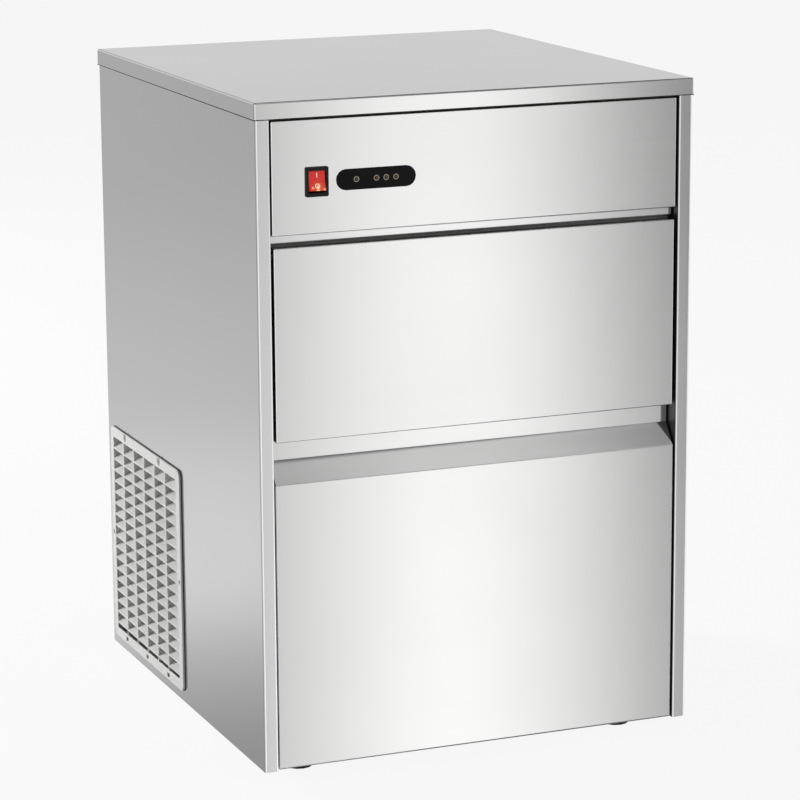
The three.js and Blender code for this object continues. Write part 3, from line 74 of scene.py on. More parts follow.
camera_lens = bpy.data.cameras.new("camera")
camera_lens.sensor_width = 36
camera_lens.lens = 147.4
camera_lens.clip_end = 100
camera = added("camera", camera_lens)
camera.location = (-1.357, -3.3858, 1.1577)
camera.rotation_mode = "QUATERNION"
yaw, pitch, roll = (math.radians(angle) for angle in (-22.095, 90 - 12.57, -0.38))
camera.rotation_quaternion = (
    Matrix.Rotation(yaw, 4, "Z") @ Matrix.Rotation(pitch, 4, "X") @ Matrix.Rotation(roll, 4, "Z")).to_quaternion()
scene.camera = camera


# Studio: a white room with two soft lamps over a pale floor. Polished metal shows the room's
# long light boxes and the grey between them, given by compass bearing and by height.
def link(tree, source, target):
    tree.links.new(source, target)


def set_or_link(tree, socket, value):
    if isinstance(value, bpy.types.NodeSocket):
        link(tree, value, socket)
    else:
        socket.default_value = value


def math_node(tree, operation, *values):
    node = tree.nodes.new("ShaderNodeMath")
    node.operation = operation
    for socket, value in zip(node.inputs, values):
        set_or_link(tree, socket, value)
    return node.outputs["Value"]


def mix_colour(tree, factor, one, other, blend="MIX"):
    node = tree.nodes.new("ShaderNodeMix")
    node.data_type = "RGBA"
    node.blend_type = blend
    for place, value in ((0, factor), (6, one), (7, other)):
        set_or_link(tree, node.inputs[place], value)
    return node.outputs[2]


def level_ramp(tree, value, stops):
    node = tree.nodes.new("ShaderNodeValToRGB")
    node.color_ramp.interpolation = "EASE"
    elements = node.color_ramp.elements
    while len(elements) < len(stops):
        elements.new(0.5)
    for element, (place, level) in zip(elements, stops):
        element.position = place
        element.color = (level, level, level, 1)
    link(tree, value, node.inputs["Fac"])
    return node.outputs["Color"]


room = bpy.data.worlds.new("studio")
scene.world = room
room.use_nodes = True
sky = room.node_tree
sky.nodes.clear()
direction = sky.nodes.new("ShaderNodeSeparateXYZ")
link(sky, sky.nodes.new("ShaderNodeTexCoord").outputs["Generated"], direction.inputs[0])
from_front = math_node(
    sky, "ARCTAN2", direction.outputs["X"], math_node(sky, "MULTIPLY", direction.outputs["Y"], -1))
bearing = math_node(sky, "ADD", math_node(sky, "DIVIDE", from_front, 2 * math.pi), 0.5)
climb = math_node(sky, "ARCSINE", direction.outputs["Z"])
height = math_node(sky, "ADD", math_node(sky, "DIVIDE", climb, math.pi), 0.5)
half_level = 0.5  # the ramps hold half of each level, so that a light box can be brighter than white


def by_bearing(stops, share=1.0):
    """Levels by compass bearing in degrees; 0 lies before the door and 90 to its right."""
    return level_ramp(sky, bearing, [(0.5 + angle / 360, level * share) for angle, level in stops])


def by_height(stops, share=1.0):
    """Levels by the angle over the horizon in degrees."""
    return level_ramp(sky, height, [(0.5 + angle / 180, level * share) for angle, level in stops])


def dimmed(one, other):
    return mix_colour(sky, 1.0, one, other, "MULTIPLY")


round_room = by_bearing([
    (-180, 0.98), (-164, 0.98), (-150, 0.80), (-130, 0.52), (-60, 0.56), (-40, 1.3), (4, 1.5), (13, 0.46),
    (18.8, 0.46), (20.3, 1.10), (22.1, 1.70), (24.1, 1.80), (26.1, 0.90), (27.2, 0.40), (29, 0.14), (33, 0.2),
    (36, 1.4), (62, 1.4), (112, 1.25), (126, 0.76), (168, 0.76), (180, 0.98)], half_level)
high_room = by_bearing([
    (-180, 0.5), (-60, 0.5), (20, 0.44), (32.5, 0.34), (34.6, 0.84), (36.2, 1.6), (37.7, 2.0), (39.2, 1.5),
    (40.2, 0.30), (41, 0.0), (50, 0.0), (74, 0.15), (140, 0.12), (180, 0.5)], half_level)
front_height = by_height([
    (-90, 0.06), (-52, 0.12), (-30, 1.0), (-17, 1.06), (-13, 1.03), (-8, 0.96), (0, 0.9), (7.5, 1.0),
    (14, 0.56), (90, 0.56)], half_level)
right_height = by_height([
    (-90, 0.06), (-52, 0.12), (-30, 1.2), (-18, 1.22), (-15, 1.18), (-12, 1.0), (-8, 0.74), (0, 0.66),
    (90, 0.6)], half_level)
side_height = by_height([
    (-90, 0.06), (-50, 0.1), (-26, 0.34), (-18.6, 0.42), (-17.4, 0.58), (-15.8, 1.0), (-14.2, 0.94),
    (-12.4, 0.74), (-8, 0.60), (-4, 0.58), (4, 0.95), (14, 0.8), (90, 0.8)], half_level)
to_side = by_bearing([(-180, 1), (-140, 1), (-100, 0), (172, 0), (178, 1)])
to_right = by_bearing([(0, 0), (23.6, 0), (26.4, 1), (60, 1), (90, 0)])
upper_boxes = by_bearing([
    (-180, 1), (-150, 1), (-110, 0.5), (4, 0.5), (16, 1), (50, 1), (75, 0.5), (120, 0.5), (145, 1), (180, 1)])
above_eyes = by_height([(0, 0), (5, 1), (90, 1)])
overhead = by_height([(0, 0), (20, 0), (36, 1), (90, 1)])
zenith = by_height([(0, 1), (64, 1), (74, 0.12), (90, 0.05)])
all_heights = mix_colour(sky, to_side, mix_colour(sky, to_right, front_height, right_height), side_height)
even_room = dimmed(round_room, all_heights)
low_room = mix_colour(sky, above_eyes, even_room, dimmed(even_room, upper_boxes))
high_level = dimmed(high_room, (half_level, half_level, half_level, 1))
lit_room = dimmed(mix_colour(sky, overhead, low_room, high_level), zenith)


def background(strength, colour=(1, 1, 1, 1)):
    node = sky.nodes.new("ShaderNodeBackground")
    set_or_link(sky, node.inputs["Color"], colour)
    node.inputs["Strength"].default_value = strength
    return node.outputs[0]


def mixed_light(tree, *sources):
    """The second source where the factor is 0 and the third where it is 1."""
    node = tree.nodes.new("ShaderNodeMixShader")
    for socket, source in zip(node.inputs, sources):
        link(tree, source, socket)
    return node.outputs[0]


rays = sky.nodes.new("ShaderNodeLightPath").outputs
room_light = 0.2  # what the walls give to matt surfaces
matt_or_gloss = mixed_light(
    sky, rays["Is Glossy Ray"], background(room_light), background(1 / half_level ** 2, lit_room))
seen_or_not = mixed_light(sky, rays["Is Camera Ray"], matt_or_gloss, background(1))
link(sky, seen_or_not, sky.nodes.new("ShaderNodeOutputWorld").inputs["Surface"])


def soft_lamp(name, place, aim, size, power):
    lamp = bpy.data.lights.new(name, "AREA")
    lamp.shape = "SQUARE"
    lamp.size = size
    lamp.energy = power
    holder = added(name, lamp)
    holder.location = place
    holder.rotation_mode = "QUATERNION"
    holder.rotation_quaternion = (Vector(aim) - Vector(place)).to_track_quat("-Z", "Y")
    holder.visible_glossy = False


soft_lamp("key_lamp", place=(-2.25, 3.1, 0.9), aim=(-0.25, 0.1, 0.2), size=0.5, power=158)
soft_lamp("fill_lamp", place=(1.6, -3.4, 2.4), aim=(0, 0, 0.4), size=1.6, power=26)

floor_mesh = bpy.data.meshes.new("floor")
floor_half = 20
floor_mesh.from_pydata(
    [(-floor_half, -floor_half, 0), (floor_half, -floor_half, 0), (floor_half, floor_half, 0),
     (-floor_half, floor_half, 0)], [], [(0, 1, 2, 3)])
floor = added("floor", floor_mesh)
floor.visible_glossy = False
floor_paint = bpy.data.materials.new("floor_paint")
floor_paint.use_nodes = True
paint_tree = floor_paint.node_tree
paint_tree.nodes.clear()
matt_floor = paint_tree.nodes.new("ShaderNodeBsdfDiffuse")
matt_floor.inputs["Color"].default_value = (0.93, 0.93, 0.93, 1)
bright_floor = paint_tree.nodes.new("ShaderNodeEmission")
bright_floor.inputs["Strength"].default_value = 1
floor_rays = paint_tree.nodes.new("ShaderNodeLightPath").outputs
brightened = 0.9  # how much of the floor's white doesn't take the shadow
floor_mix = mixed_light(
    paint_tree, math_node(paint_tree, "MULTIPLY", floor_rays["Is Camera Ray"], brightened),
    matt_floor.outputs[0], bright_floor.outputs[0])
link(paint_tree, floor_mix, paint_tree.nodes.new("ShaderNodeOutputMaterial").inputs["Surface"])
floor_mesh.materials.append(floor_paint)

# Levelling feet: moulded black pads on zinc plated studs, screwed into nuts in the base pan.
# Moulded plastic has a fine even grain with faint clouds in its shine.
MM = 0.001


def new_group(name, inputs, outputs):
    group = bpy.data.node_groups.new(name, "ShaderNodeTree")
    for label, kind, value in inputs:
        socket = group.interface.new_socket(label, in_out="INPUT", socket_type=kind)
        socket.default_value = value
    for label, kind in outputs:
        group.interface.new_socket(label, in_out="OUTPUT", socket_type=kind)
    return group, group.nodes.new("NodeGroupInput").outputs, group.nodes.new("NodeGroupOutput").inputs


def noise(tree, vector, scale, detail=2.0):
    node = tree.nodes.new("ShaderNodeTexNoise")
    set_or_link(tree, node.inputs["Scale"], scale)
    node.inputs["Detail"].default_value = detail
    link(tree, vector, node.inputs["Vector"])
    return math_node(tree, "SUBTRACT", node.outputs["Fac"], 0.5)


def scaled(tree, vector, scale):
    node = tree.nodes.new("ShaderNodeVectorMath")
    node.operation = "SCALE"
    link(tree, vector, node.inputs[0])
    set_or_link(tree, node.inputs["Scale"], scale)
    return node.outputs[0]


surface_outputs = [
    ("Colour", "NodeSocketColor"), ("Roughness", "NodeSocketFloat"), ("Height", "NodeSocketFloat")]
moulded_skin, skin_in, skin_out = new_group("moulded_skin", [
    ("Vector", "NodeSocketVector", (0, 0, 0)),
    ("Colour", "NodeSocketColor", (0.5, 0.5, 0.5, 1)),
    ("Roughness", "NodeSocketFloat", 0.4),
    ("Grain", "NodeSocketFloat", 1500.0),
    ("Unevenness", "NodeSocketFloat", 0.06),
], surface_outputs)
skin_grain = noise(moulded_skin, skin_in["Vector"], skin_in["Grain"])
cloud_scale = 14.0
skin_cloud = noise(moulded_skin, skin_in["Vector"], cloud_scale)
skin_shade = math_node(moulded_skin, "MULTIPLY_ADD", skin_cloud, skin_in["Unevenness"], 1.0)
link(moulded_skin, scaled(moulded_skin, skin_in["Colour"], skin_shade), skin_out["Colour"])
shine_change = 0.14
skin_rough = math_node(
    moulded_skin, "MULTIPLY_ADD", math_node(moulded_skin, "ADD", skin_grain, skin_cloud), shine_change,
    skin_in["Roughness"])
link(moulded_skin, skin_rough, skin_out["Roughness"])
link(moulded_skin, skin_grain, skin_out["Height"])


def finish(name, group, colour, roughness, metallic=0.0, bump=0.15, depth=0.1, **values):
    """A material whose colour, shine and relief come from a group; depth is the relief in millimetres."""
    material = bpy.data.materials.new(name)
    material.use_nodes = True
    tree = material.node_tree
    shader = tree.nodes["Principled BSDF"]
    shader.inputs["Metallic"].default_value = metallic
    surface = tree.nodes.new("ShaderNodeGroup")
    surface.node_tree = group
    link(tree, tree.nodes.new("ShaderNodeTexCoord").outputs["Object"], surface.inputs["Vector"])
    surface.inputs["Colour"].default_value = (*colour, 1)
    surface.inputs["Roughness"].default_value = roughness
    for label, value in values.items():
        surface.inputs[label].default_value = value
    link(tree, surface.outputs["Colour"], shader.inputs["Base Color"])
    link(tree, surface.outputs["Roughness"], shader.inputs["Roughness"])
    relief = tree.nodes.new("ShaderNodeBump")
    relief.inputs["Strength"].default_value = bump
    relief.inputs["Distance"].default_value = depth * MM
    link(tree, surface.outputs["Height"], relief.inputs["Height"])
    link(tree, relief.outputs["Normal"], shader.inputs["Normal"])
    return material


def shader_of(material):
    return material.node_tree.nodes["Principled BSDF"]


def plain_mesh(holder, name):
    """The holder with its modifiers as a plain mesh; the holder itself goes."""
    graph = bpy.context.evaluated_depsgraph_get()
    mesh = bpy.data.meshes.new_from_object(
        holder.evaluated_get(graph), preserve_all_data_layers=True, depsgraph=graph)
    mesh.name = name
    bpy.data.objects.remove(holder)
    return mesh


def merged_copy(node, fold=0.0, open_side=None):
    """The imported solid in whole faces, its outermost folds rounded, but not round its open side;
    the sides count from the left, right, front, rear, bottom and top."""
    mesh = frame["nodes"][node].data.copy()
    form = bmesh.new()
    form.from_mesh(mesh)
    bmesh.ops.remove_doubles(form, verts=form.verts, dist=2e-6)
    bmesh.ops.dissolve_limit(
        form, angle_limit=math.radians(0.4), verts=form.verts, edges=form.edges, use_dissolve_boundaries=False)
    if fold:
        sides = [
            (axis, pick(vert.co[axis] for vert in form.verts)) for axis in range(3) for pick in (min, max)]
        touching = 0.01 * MM
        outermost = []
        for edge in form.edges:
            on_sides = [
                side for side, (axis, level) in enumerate(sides)
                if all(abs(vert.co[axis] - level) < touching for vert in edge.verts)]
            if len(on_sides) == 2 and open_side not in on_sides:
                outermost.append(edge)
        bmesh.ops.bevel(
            form, geom=outermost, offset=fold * MM, segments=4, profile=0.5, affect="EDGES", clamp_overlap=True)
    form.to_mesh(mesh)
    form.free()
    mesh.polygons.foreach_set("use_smooth", [True] * len(mesh.polygons))
    return mesh


def smooth_shading(mesh, turned):
    """Shades bends smoothly and leaves the large flats next to them flat, except on a turned form."""
    form = bmesh.new()
    form.from_mesh(mesh)
    form.normal_update()
    least = math.cos(math.radians(50))  # a sharper corner stays sharp
    areas = [face.calc_area() / MM ** 2 for face in form.faces]
    large = math.inf if turned else 50  # square millimetres
    alone = 1e-12  # the face's own share, for a corner where nothing else counts
    normals = []
    for face in form.faces:
        for loop in face.loops:
            normal = face.normal.copy()
            if areas[face.index] < large:
                around = [other for other in loop.vert.link_faces if other.normal.dot(face.normal) > least]
                normal = sum((other.normal * areas[other.index] ** 3 for other in around), normal * alone)
            normals.append(normal.normalized())
    form.free()
    mesh.normals_split_custom_set(normals)


def new_piece(name, mesh, body, slot, *replaced):
    piece = added(name, mesh)
    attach(piece, body)
    if replaced:
        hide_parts(*replaced)
    return piece


def paint(mesh, *materials):
    mesh.materials.clear()
    for material in materials:
        mesh.materials.append(material)


def dressed(node, material, edge, corner=40, fold=0.0, open_side=None, back=None, turned=False):
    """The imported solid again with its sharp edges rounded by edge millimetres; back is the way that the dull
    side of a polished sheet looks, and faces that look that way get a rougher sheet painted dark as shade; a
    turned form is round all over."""
    holder = added(node + "_blank", merged_copy(node, fold, open_side))
    rounding = holder.modifiers.new("rounding", "BEVEL")
    rounding.width = edge * MM
    rounding.segments = 2
    rounding.limit_method = "ANGLE"
    rounding.angle_limit = math.radians(corner)
    mesh = plain_mesh(holder, node + "_made")
    smooth_shading(mesh, turned)
    paint(mesh, material)
    if back:
        paint(mesh, material, sheet_back)
        facing = 0.7
        mesh.polygons.foreach_set("material_index", [face.normal.x * back > facing for face in mesh.polygons])
    return new_piece(node + "_made", mesh, frame["nodes"][node]["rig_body"], node, node)


black_moulding = finish("black_moulding", moulded_skin, (0.012, 0.0125, 0.013), 0.42)
shader_of(black_moulding).inputs["Specular IOR Level"].default_value = 0.2
for corner in ("front_left", "front_right", "rear_left", "rear_right"):
    dressed("foot_" + corner, black_moulding, 0.5, turned=True)

# Base pan: a tray folded from galvanised sheet, its zinc grown in faint grey flakes,
# with a nut welded over each foot.
zinc_flakes, flake_in, flake_out = new_group("zinc_flakes", [
    ("Vector", "NodeSocketVector", (0, 0, 0)),
    ("Colour", "NodeSocketColor", (0.5, 0.5, 0.5, 1)),
    ("Roughness", "NodeSocketFloat", 0.4),
    ("Flake", "NodeSocketFloat", 90.0),
    ("Contrast", "NodeSocketFloat", 0.25),
], surface_outputs)
flakes = zinc_flakes.nodes.new("ShaderNodeTexVoronoi")
link(zinc_flakes, flake_in["Vector"], flakes.inputs["Vector"])
link(zinc_flakes, flake_in["Flake"], flakes.inputs["Scale"])
flake_tone = math_node(zinc_flakes, "SUBTRACT", flakes.outputs["Color"], 0.5)
flake_shade = math_node(zinc_flakes, "MULTIPLY_ADD", flake_tone, flake_in["Contrast"], 1.0)
link(zinc_flakes, scaled(zinc_flakes, flake_in["Colour"], flake_shade), flake_out["Colour"])
flake_rough = math_node(zinc_flakes, "MULTIPLY_ADD", flake_tone, 0.2, flake_in["Roughness"])
link(zinc_flakes, flake_rough, flake_out["Roughness"])
link(zinc_flakes, flake_tone, flake_out["Height"])
galvanised = finish("galvanised", zinc_flakes, (0.56, 0.58, 0.6), 0.42, metallic=1.0, bump=0.03)
dressed("base_pan", galvanised, 0.3)

# Compressor: a welded steel pot in black paint with the slight peel of a dipped coat, bolted
# on a foot plate over four rubber grommets; a moulded cover hides its terminals.
pot_paint = finish("pot_paint", moulded_skin, (0.016, 0.016, 0.017), 0.34, bump=0.35, depth=0.25, Grain=320.0)
rubber_black = finish("rubber_black", moulded_skin, (0.026, 0.026, 0.028), 0.72, bump=0.3, Grain=900.0)
dressed("compressor", pot_paint, 1.2, corner=50, turned=True)
dressed("compressor_terminal_cover", black_moulding, 1.5)
for corner in ("front_left", "front_right", "rear_left", "rear_right"):
    dressed("compressor_grommet_" + corner, rubber_black, 0.6, turned=True)


def geometry_tree(name, inputs):
    tree = bpy.data.node_groups.new(name, "GeometryNodeTree")
    tree.interface.new_socket("Geometry", in_out="INPUT", socket_type="NodeSocketGeometry")
    for label, kind in inputs:
        tree.interface.new_socket(label, in_out="INPUT", socket_type=kind)
    tree.interface.new_socket("Geometry", in_out="OUTPUT", socket_type="NodeSocketGeometry")
    return tree, tree.nodes.new("NodeGroupInput").outputs, tree.nodes.new("NodeGroupOutput").inputs


def geometry_node(tree, kind, settings=None, **values):
    """A node with its sockets set or linked; socket names are given with underscores."""
    node = tree.nodes.new("GeometryNode" + kind)
    for label, value in (settings or {}).items():
        setattr(node, label, value)
    for label, value in values.items():
        set_or_link(tree, node.inputs[label.replace("_", " ")], value)
    return node


def end_with(tree, geometry, material, out):
    real = geometry_node(tree, "RealizeInstances", Geometry=geometry)
    coloured = geometry_node(tree, "SetMaterial", Geometry=real.outputs[0], Material=material)
    link(tree, coloured.outputs[0], out)


def vector_of(tree, x=0.0, y=0.0, z=0.0):
    node = tree.nodes.new("ShaderNodeCombineXYZ")
    for socket, value in zip(node.inputs, (x, y, z)):
        set_or_link(tree, socket, value)
    return node.outputs[0]


def grown(name, start, tree, **sizes):
    """The mesh that a tree makes from a start form, a mesh or a curve, with its named sizes."""
    holder = added(name + "_start", start)
    grower = holder.modifiers.new("growing", "NODES")
    grower.node_group = tree
    for item in tree.interface.items_tree:
        label = item.name.replace(" ", "_")
        if item.in_out == "INPUT" and label in sizes:
            value = sizes[label]
            grower[item.identifier] = list(value) if isinstance(value, Vector) else value
    holder.update_tag()
    return plain_mesh(holder, name)


def points_mesh(name, places):
    mesh = bpy.data.meshes.new(name)
    mesh.from_pydata([Vector(place) * MM for place in places], [], [])
    return mesh


screw_tree, screw_in, screw_out = geometry_tree("cross_screws", [
    ("Head Radius", "NodeSocketFloat"), ("Head Height", "NodeSocketFloat"), ("Crown", "NodeSocketFloat"),
    ("Turn", "NodeSocketVector"), ("Material", "NodeSocketMaterial")])
screw_head = geometry_node(
    screw_tree, "MeshCone", Vertices=16, Side_Segments=2, Depth=screw_in["Head Height"],
    Radius_Bottom=screw_in["Head Radius"],
    Radius_Top=math_node(screw_tree, "MULTIPLY", screw_in["Head Radius"], screw_in["Crown"]))
slot_long, slot_thin = (
    math_node(screw_tree, "MULTIPLY", screw_in["Head Radius"], share) for share in (1.15, 0.26))
slots = [
    geometry_node(screw_tree, "MeshCube", Size=vector_of(screw_tree, wide, deep, screw_in["Head Height"]))
    for wide, deep in ((slot_long, slot_thin), (slot_thin, slot_long))]
slotted = geometry_node(screw_tree, "MeshBoolean", {"operation": "DIFFERENCE", "solver": "EXACT"})
link(screw_tree, screw_head.outputs["Mesh"], slotted.inputs["Mesh 1"])
for slot_cube in slots:
    raised = geometry_node(
        screw_tree, "Transform", Geometry=slot_cube.outputs["Mesh"],
        Translation=vector_of(screw_tree, z=screw_in["Head Height"]))
    link(screw_tree, raised.outputs[0], slotted.inputs["Mesh 2"])
placed = geometry_node(
    screw_tree, "InstanceOnPoints", Points=screw_in["Geometry"], Instance=slotted.outputs["Mesh"],
    Rotation=screw_in["Turn"], Scale=Vector((MM, MM, MM)))
end_with(screw_tree, placed.outputs[0], screw_in["Material"], screw_out["Geometry"])


def screws(name, places, radius, head, turn, material, slot, crown=0.66):
    """Heads with a cross slot at places in millimetres; crown is how wide their flat top is."""
    mesh = grown(
        name, points_mesh(name + "_places", places), screw_tree, Head_Radius=float(radius),
        Head_Height=float(head), Crown=crown, Turn=Vector(turn), Material=material)
    return new_piece(name, mesh, "cabinet", slot)


facing_up = (0, 0, 0)
facing_left = (0, -math.pi / 2, 0)
facing_right = (0, math.pi / 2, 0)
facing_rear = (-math.pi / 2, 0, 0)
screw_zinc = finish(
    "screw_zinc", zinc_flakes, (0.6, 0.61, 0.62), 0.3, metallic=1.0, bump=0.05, Flake=400.0, Contrast=0.1)
foot_plate_top = 33.1
screws("compressor_bolts", [(x, y, foot_plate_top) for y in (10, 110) for x in (15, 175)], radius=5.5, head=3.5,
       turn=facing_up, material=screw_zinc, slot="compressor")

# Condenser: thin aluminium fins pressed over rows of copper tube that turn back at the ends,
# between two galvanised end plates that stand on the base pan.
condenser_low, condenser_high = (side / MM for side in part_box("condenser"))
fin_aluminium = finish(
    "fin_aluminium", zinc_flakes, (0.72, 0.73, 0.74), 0.36, metallic=1.0, bump=0.02, Flake=30.0, Contrast=0.12)


def row_of(tree, piece, count, first, step):
    """The piece again and again in equal steps."""
    places = geometry_node(
        tree, "MeshLine", {"mode": "OFFSET", "count_mode": "TOTAL"}, Count=count, Start_Location=first,
        Offset=step)
    return geometry_node(tree, "InstanceOnPoints", Points=places.outputs["Mesh"], Instance=piece).outputs[0]


fin_tree, fin_in, fin_out = geometry_tree("pressed_fins", [
    ("Fins", "NodeSocketInt"), ("Pitch", "NodeSocketFloat"), ("Fin", "NodeSocketVector"),
    ("Start", "NodeSocketVector"), ("Material", "NodeSocketMaterial")])
fin_plate = geometry_node(fin_tree, "MeshCube", Size=fin_in["Fin"])
fin_row = row_of(
    fin_tree, fin_plate.outputs["Mesh"], fin_in["Fins"], fin_in["Start"], vector_of(fin_tree, y=fin_in["Pitch"]))
end_with(fin_tree, fin_row, fin_in["Material"], fin_out["Geometry"])
fin_count = 84
fin_pitch = 2.5
fin_thickness = 0.25
fin_bottom = 44.5
middle_y = (condenser_low.y + condenser_high.y) / 2
fins = grown(
    "condenser_fins", points_mesh("fin_start", [(0, 0, 0)]), fin_tree, Fins=fin_count, Pitch=fin_pitch * MM,
    Fin=Vector((condenser_high.x - condenser_low.x, fin_thickness, condenser_high.z - fin_bottom)) * MM,
    Start=Vector((
        (condenser_low.x + condenser_high.x) / 2, middle_y - (fin_count - 1) * fin_pitch / 2,
        (fin_bottom + condenser_high.z) / 2)) * MM,
    Material=fin_aluminium)
new_piece("condenser_fins", fins, "cabinet", "condenser", "condenser")


def box_mesh(name, boxes, material, edge):
    """Plain blocks given as two corners each, with broken edges, in one mesh."""
    form = bmesh.new()
    for low, high in boxes:
        low, high = Vector(low) * MM, Vector(high) * MM
        place = Matrix.Translation((low + high) / 2) @ Matrix.Diagonal((*(high - low), 1))
        bmesh.ops.create_cube(form, size=1, matrix=place)
    bmesh.ops.bevel(
        form, geom=form.edges, offset=edge * MM, segments=2, profile=0.5, affect="EDGES", clamp_overlap=True)
    mesh = bpy.data.meshes.new(name)
    form.to_mesh(mesh)
    form.free()
    paint(mesh, material)
    return mesh


end_thickness = 1.5
end_plates = [
    ((condenser_low.x, y, condenser_low.z), (condenser_high.x, y + end_thickness, condenser_high.z))
    for y in (condenser_low.y, condenser_high.y - end_thickness)]
new_piece("condenser_ends", box_mesh("condenser_ends", end_plates, galvanised, 0.3), "cabinet", "condenser")

tarnished, tarnish_in, tarnish_out = new_group("tarnished", [
    ("Vector", "NodeSocketVector", (0, 0, 0)),
    ("Colour", "NodeSocketColor", (0.7, 0.35, 0.2, 1)),
    ("Tarnish", "NodeSocketColor", (0.3, 0.16, 0.1, 1)),
    ("Roughness", "NodeSocketFloat", 0.3),
    ("Spots", "NodeSocketFloat", 60.0),
    ("Amount", "NodeSocketFloat", 0.35),
], surface_outputs)
tarnish_field = noise(tarnished, tarnish_in["Vector"], tarnish_in["Spots"], 5.0)
tarnish_mask = math_node(
    tarnished, "MULTIPLY", math_node(tarnished, "SMOOTH_MAX", tarnish_field, 0.0, 0.05), 4.0)
tarnish_part = math_node(tarnished, "MULTIPLY", tarnish_mask, tarnish_in["Amount"])
link(tarnished, mix_colour(tarnished, tarnish_part, tarnish_in["Colour"], tarnish_in["Tarnish"]),
     tarnish_out["Colour"])
link(tarnished, math_node(tarnished, "MULTIPLY_ADD", tarnish_part, 0.4, tarnish_in["Roughness"]),
     tarnish_out["Roughness"])
link(tarnished, tarnish_field, tarnish_out["Height"])
copper = finish("copper", tarnished, (0.78, 0.40, 0.25), 0.28, metallic=1.0, bump=0.04)

pipe_tree, pipe_in, pipe_out = geometry_tree("bent_pipe", [
    ("Radius", "NodeSocketFloat"), ("Bend", "NodeSocketFloat"), ("Material", "NodeSocketMaterial")])
filleted = geometry_node(
    pipe_tree, "FilletCurve", {"mode": "POLY"}, Curve=pipe_in["Geometry"], Count=5, Radius=pipe_in["Bend"],
    Limit_Radius=True)
section = geometry_node(pipe_tree, "CurvePrimitiveCircle", Resolution=16, Radius=pipe_in["Radius"])
drawn_pipe = geometry_node(
    pipe_tree, "CurveToMesh", Curve=filleted.outputs[0], Profile_Curve=section.outputs[0], Fill_Caps=True)
end_with(pipe_tree, drawn_pipe.outputs[0], pipe_in["Material"], pipe_out["Geometry"])


def bent_pipes(name, routes, radius, bend, material):
    """Round pipes along routes of points in millimetres, bent at each point between the ends."""
    way = bpy.data.curves.new(name + "_way", "CURVE")
    way.dimensions = "3D"
    for route in routes:
        run = way.splines.new("POLY")
        run.points.add(len(route) - 1)
        for point, place in zip(run.points, route):
            point.co = (*(Vector(place) * MM), 1)
    mesh = grown(name, way, pipe_tree, Radius=radius * MM, Bend=bend * MM, Material=material)
    mesh.polygons.foreach_set("use_smooth", [len(face.vertices) == 4 for face in mesh.polygons])
    return mesh


tube_rows = 8
tube_pitch = 26
tube_reach = 3
tube_inset = 10
first_tube = fin_bottom + 14
tube_runs = []
for tube_x in (condenser_low.x + tube_inset, condenser_high.x - tube_inset):
    way_points = []
    for row in range(tube_rows):
        ends = [condenser_low.y - tube_reach, condenser_high.y + tube_reach]
        if row % 2:
            ends.reverse()
        z = first_tube + row * tube_pitch
        way_points += [(tube_x, ends[0], z), (tube_x, ends[1], z)]
    tube_runs.append(way_points)
new_piece("condenser_tubes", bent_pipes("condenser_tubes", tube_runs, 4, 12.9, copper), "cabinet", "condenser")

# Fan: a shroud of black painted sheet on the condenser, five pressed blades on a hub, and a
# motor that a galvanised strap holds behind them.
sheet_paint = finish("sheet_paint", moulded_skin, (0.018, 0.018, 0.019), 0.38, bump=0.3, depth=0.2, Grain=420.0)
dressed("fan_shroud", sheet_paint, 0.5)
dressed("fan_blades", fin_aluminium, 0.4)
dressed("fan_motor", pot_paint, 1.4, turned=True)
dressed("fan_motor_strap", galvanised, 0.3)
shroud_sheet = 1.5
shroud_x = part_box("fan_shroud")[0].x / MM + shroud_sheet
screws("shroud_screws", [(shroud_x, y, z) for y in (26, 222) for z in (54, 248)], radius=3.6, head=2.2,
       turn=facing_right, material=screw_zinc, slot="fan_shroud")

# Filter drier and refrigerant pipes: a spun copper pot and drawn copper tubes, brazed at the
# joints, bare and grown a little dull.
dressed("filter_drier", copper, 0.8, turned=True)
pipe_routes = {  # radius, bend and way of each pipe
    "liquid_line": (4, 11, [(-212.5, 231.3, 48), (-212.5, 243, 48), (-60, 243, 48), (-60, 196, 48),
                            (-60, 196, 69.7)]),
    "capillary_line": (2.5, 12, [(-60, 196, 180.3), (-60, 196, 202), (-60, 251.9, 202), (-133, 251.9, 224),
                                 (-133, 251.9, 684.5), (-133, 84.3, 684.5)]),
    "suction_line": (4, 12, [(133, 84.3, 684.5), (133, 251.9, 684.5), (133, 251.9, 290), (136, 251.9, 268),
                             (136, 60, 268), (136, 60, 211.4)]),
    "discharge_line": (4, 11, [(-212.5, 231.3, 235.5), (-212.5, 243, 235.5), (54, 243, 235.5), (54, 60, 235.5),
                               (54, 60, 211.4)]),
    "hot_gas_line": (2.5, 12, [(-137.7, 243, 256.8), (-116, 243, 256.8), (-116, 251.9, 278.8),
                               (-116, 251.9, 624.5), (-130.2, 251.9, 624.5)]),
}


def piped(node, radius, bend, route, material):
    """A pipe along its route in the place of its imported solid."""
    new_piece(node + "_made", bent_pipes(node + "_made", [route], radius, bend, material), "cabinet", node, node)


for node, (radius, bend, route) in pipe_routes.items():
    piped(node, radius, bend, route, copper)
dressed("hot_gas_valve", screw_zinc, 0.8, turned=True)

# Control box: a black moulded housing for the electrics, fixed on the base pan behind the lower
# panel, under a lid held by four screws.
dressed("control_box", black_moulding, 0.8)
dressed("control_box_lid", black_moulding, 0.8)
lid_top = 91.1
screws("lid_screws", [(x, y, lid_top) for x in (37, 153) for y in (-228, -152)], radius=3.2, head=1.6,
       turn=facing_up, material=screw_zinc, slot="control_box_lid")

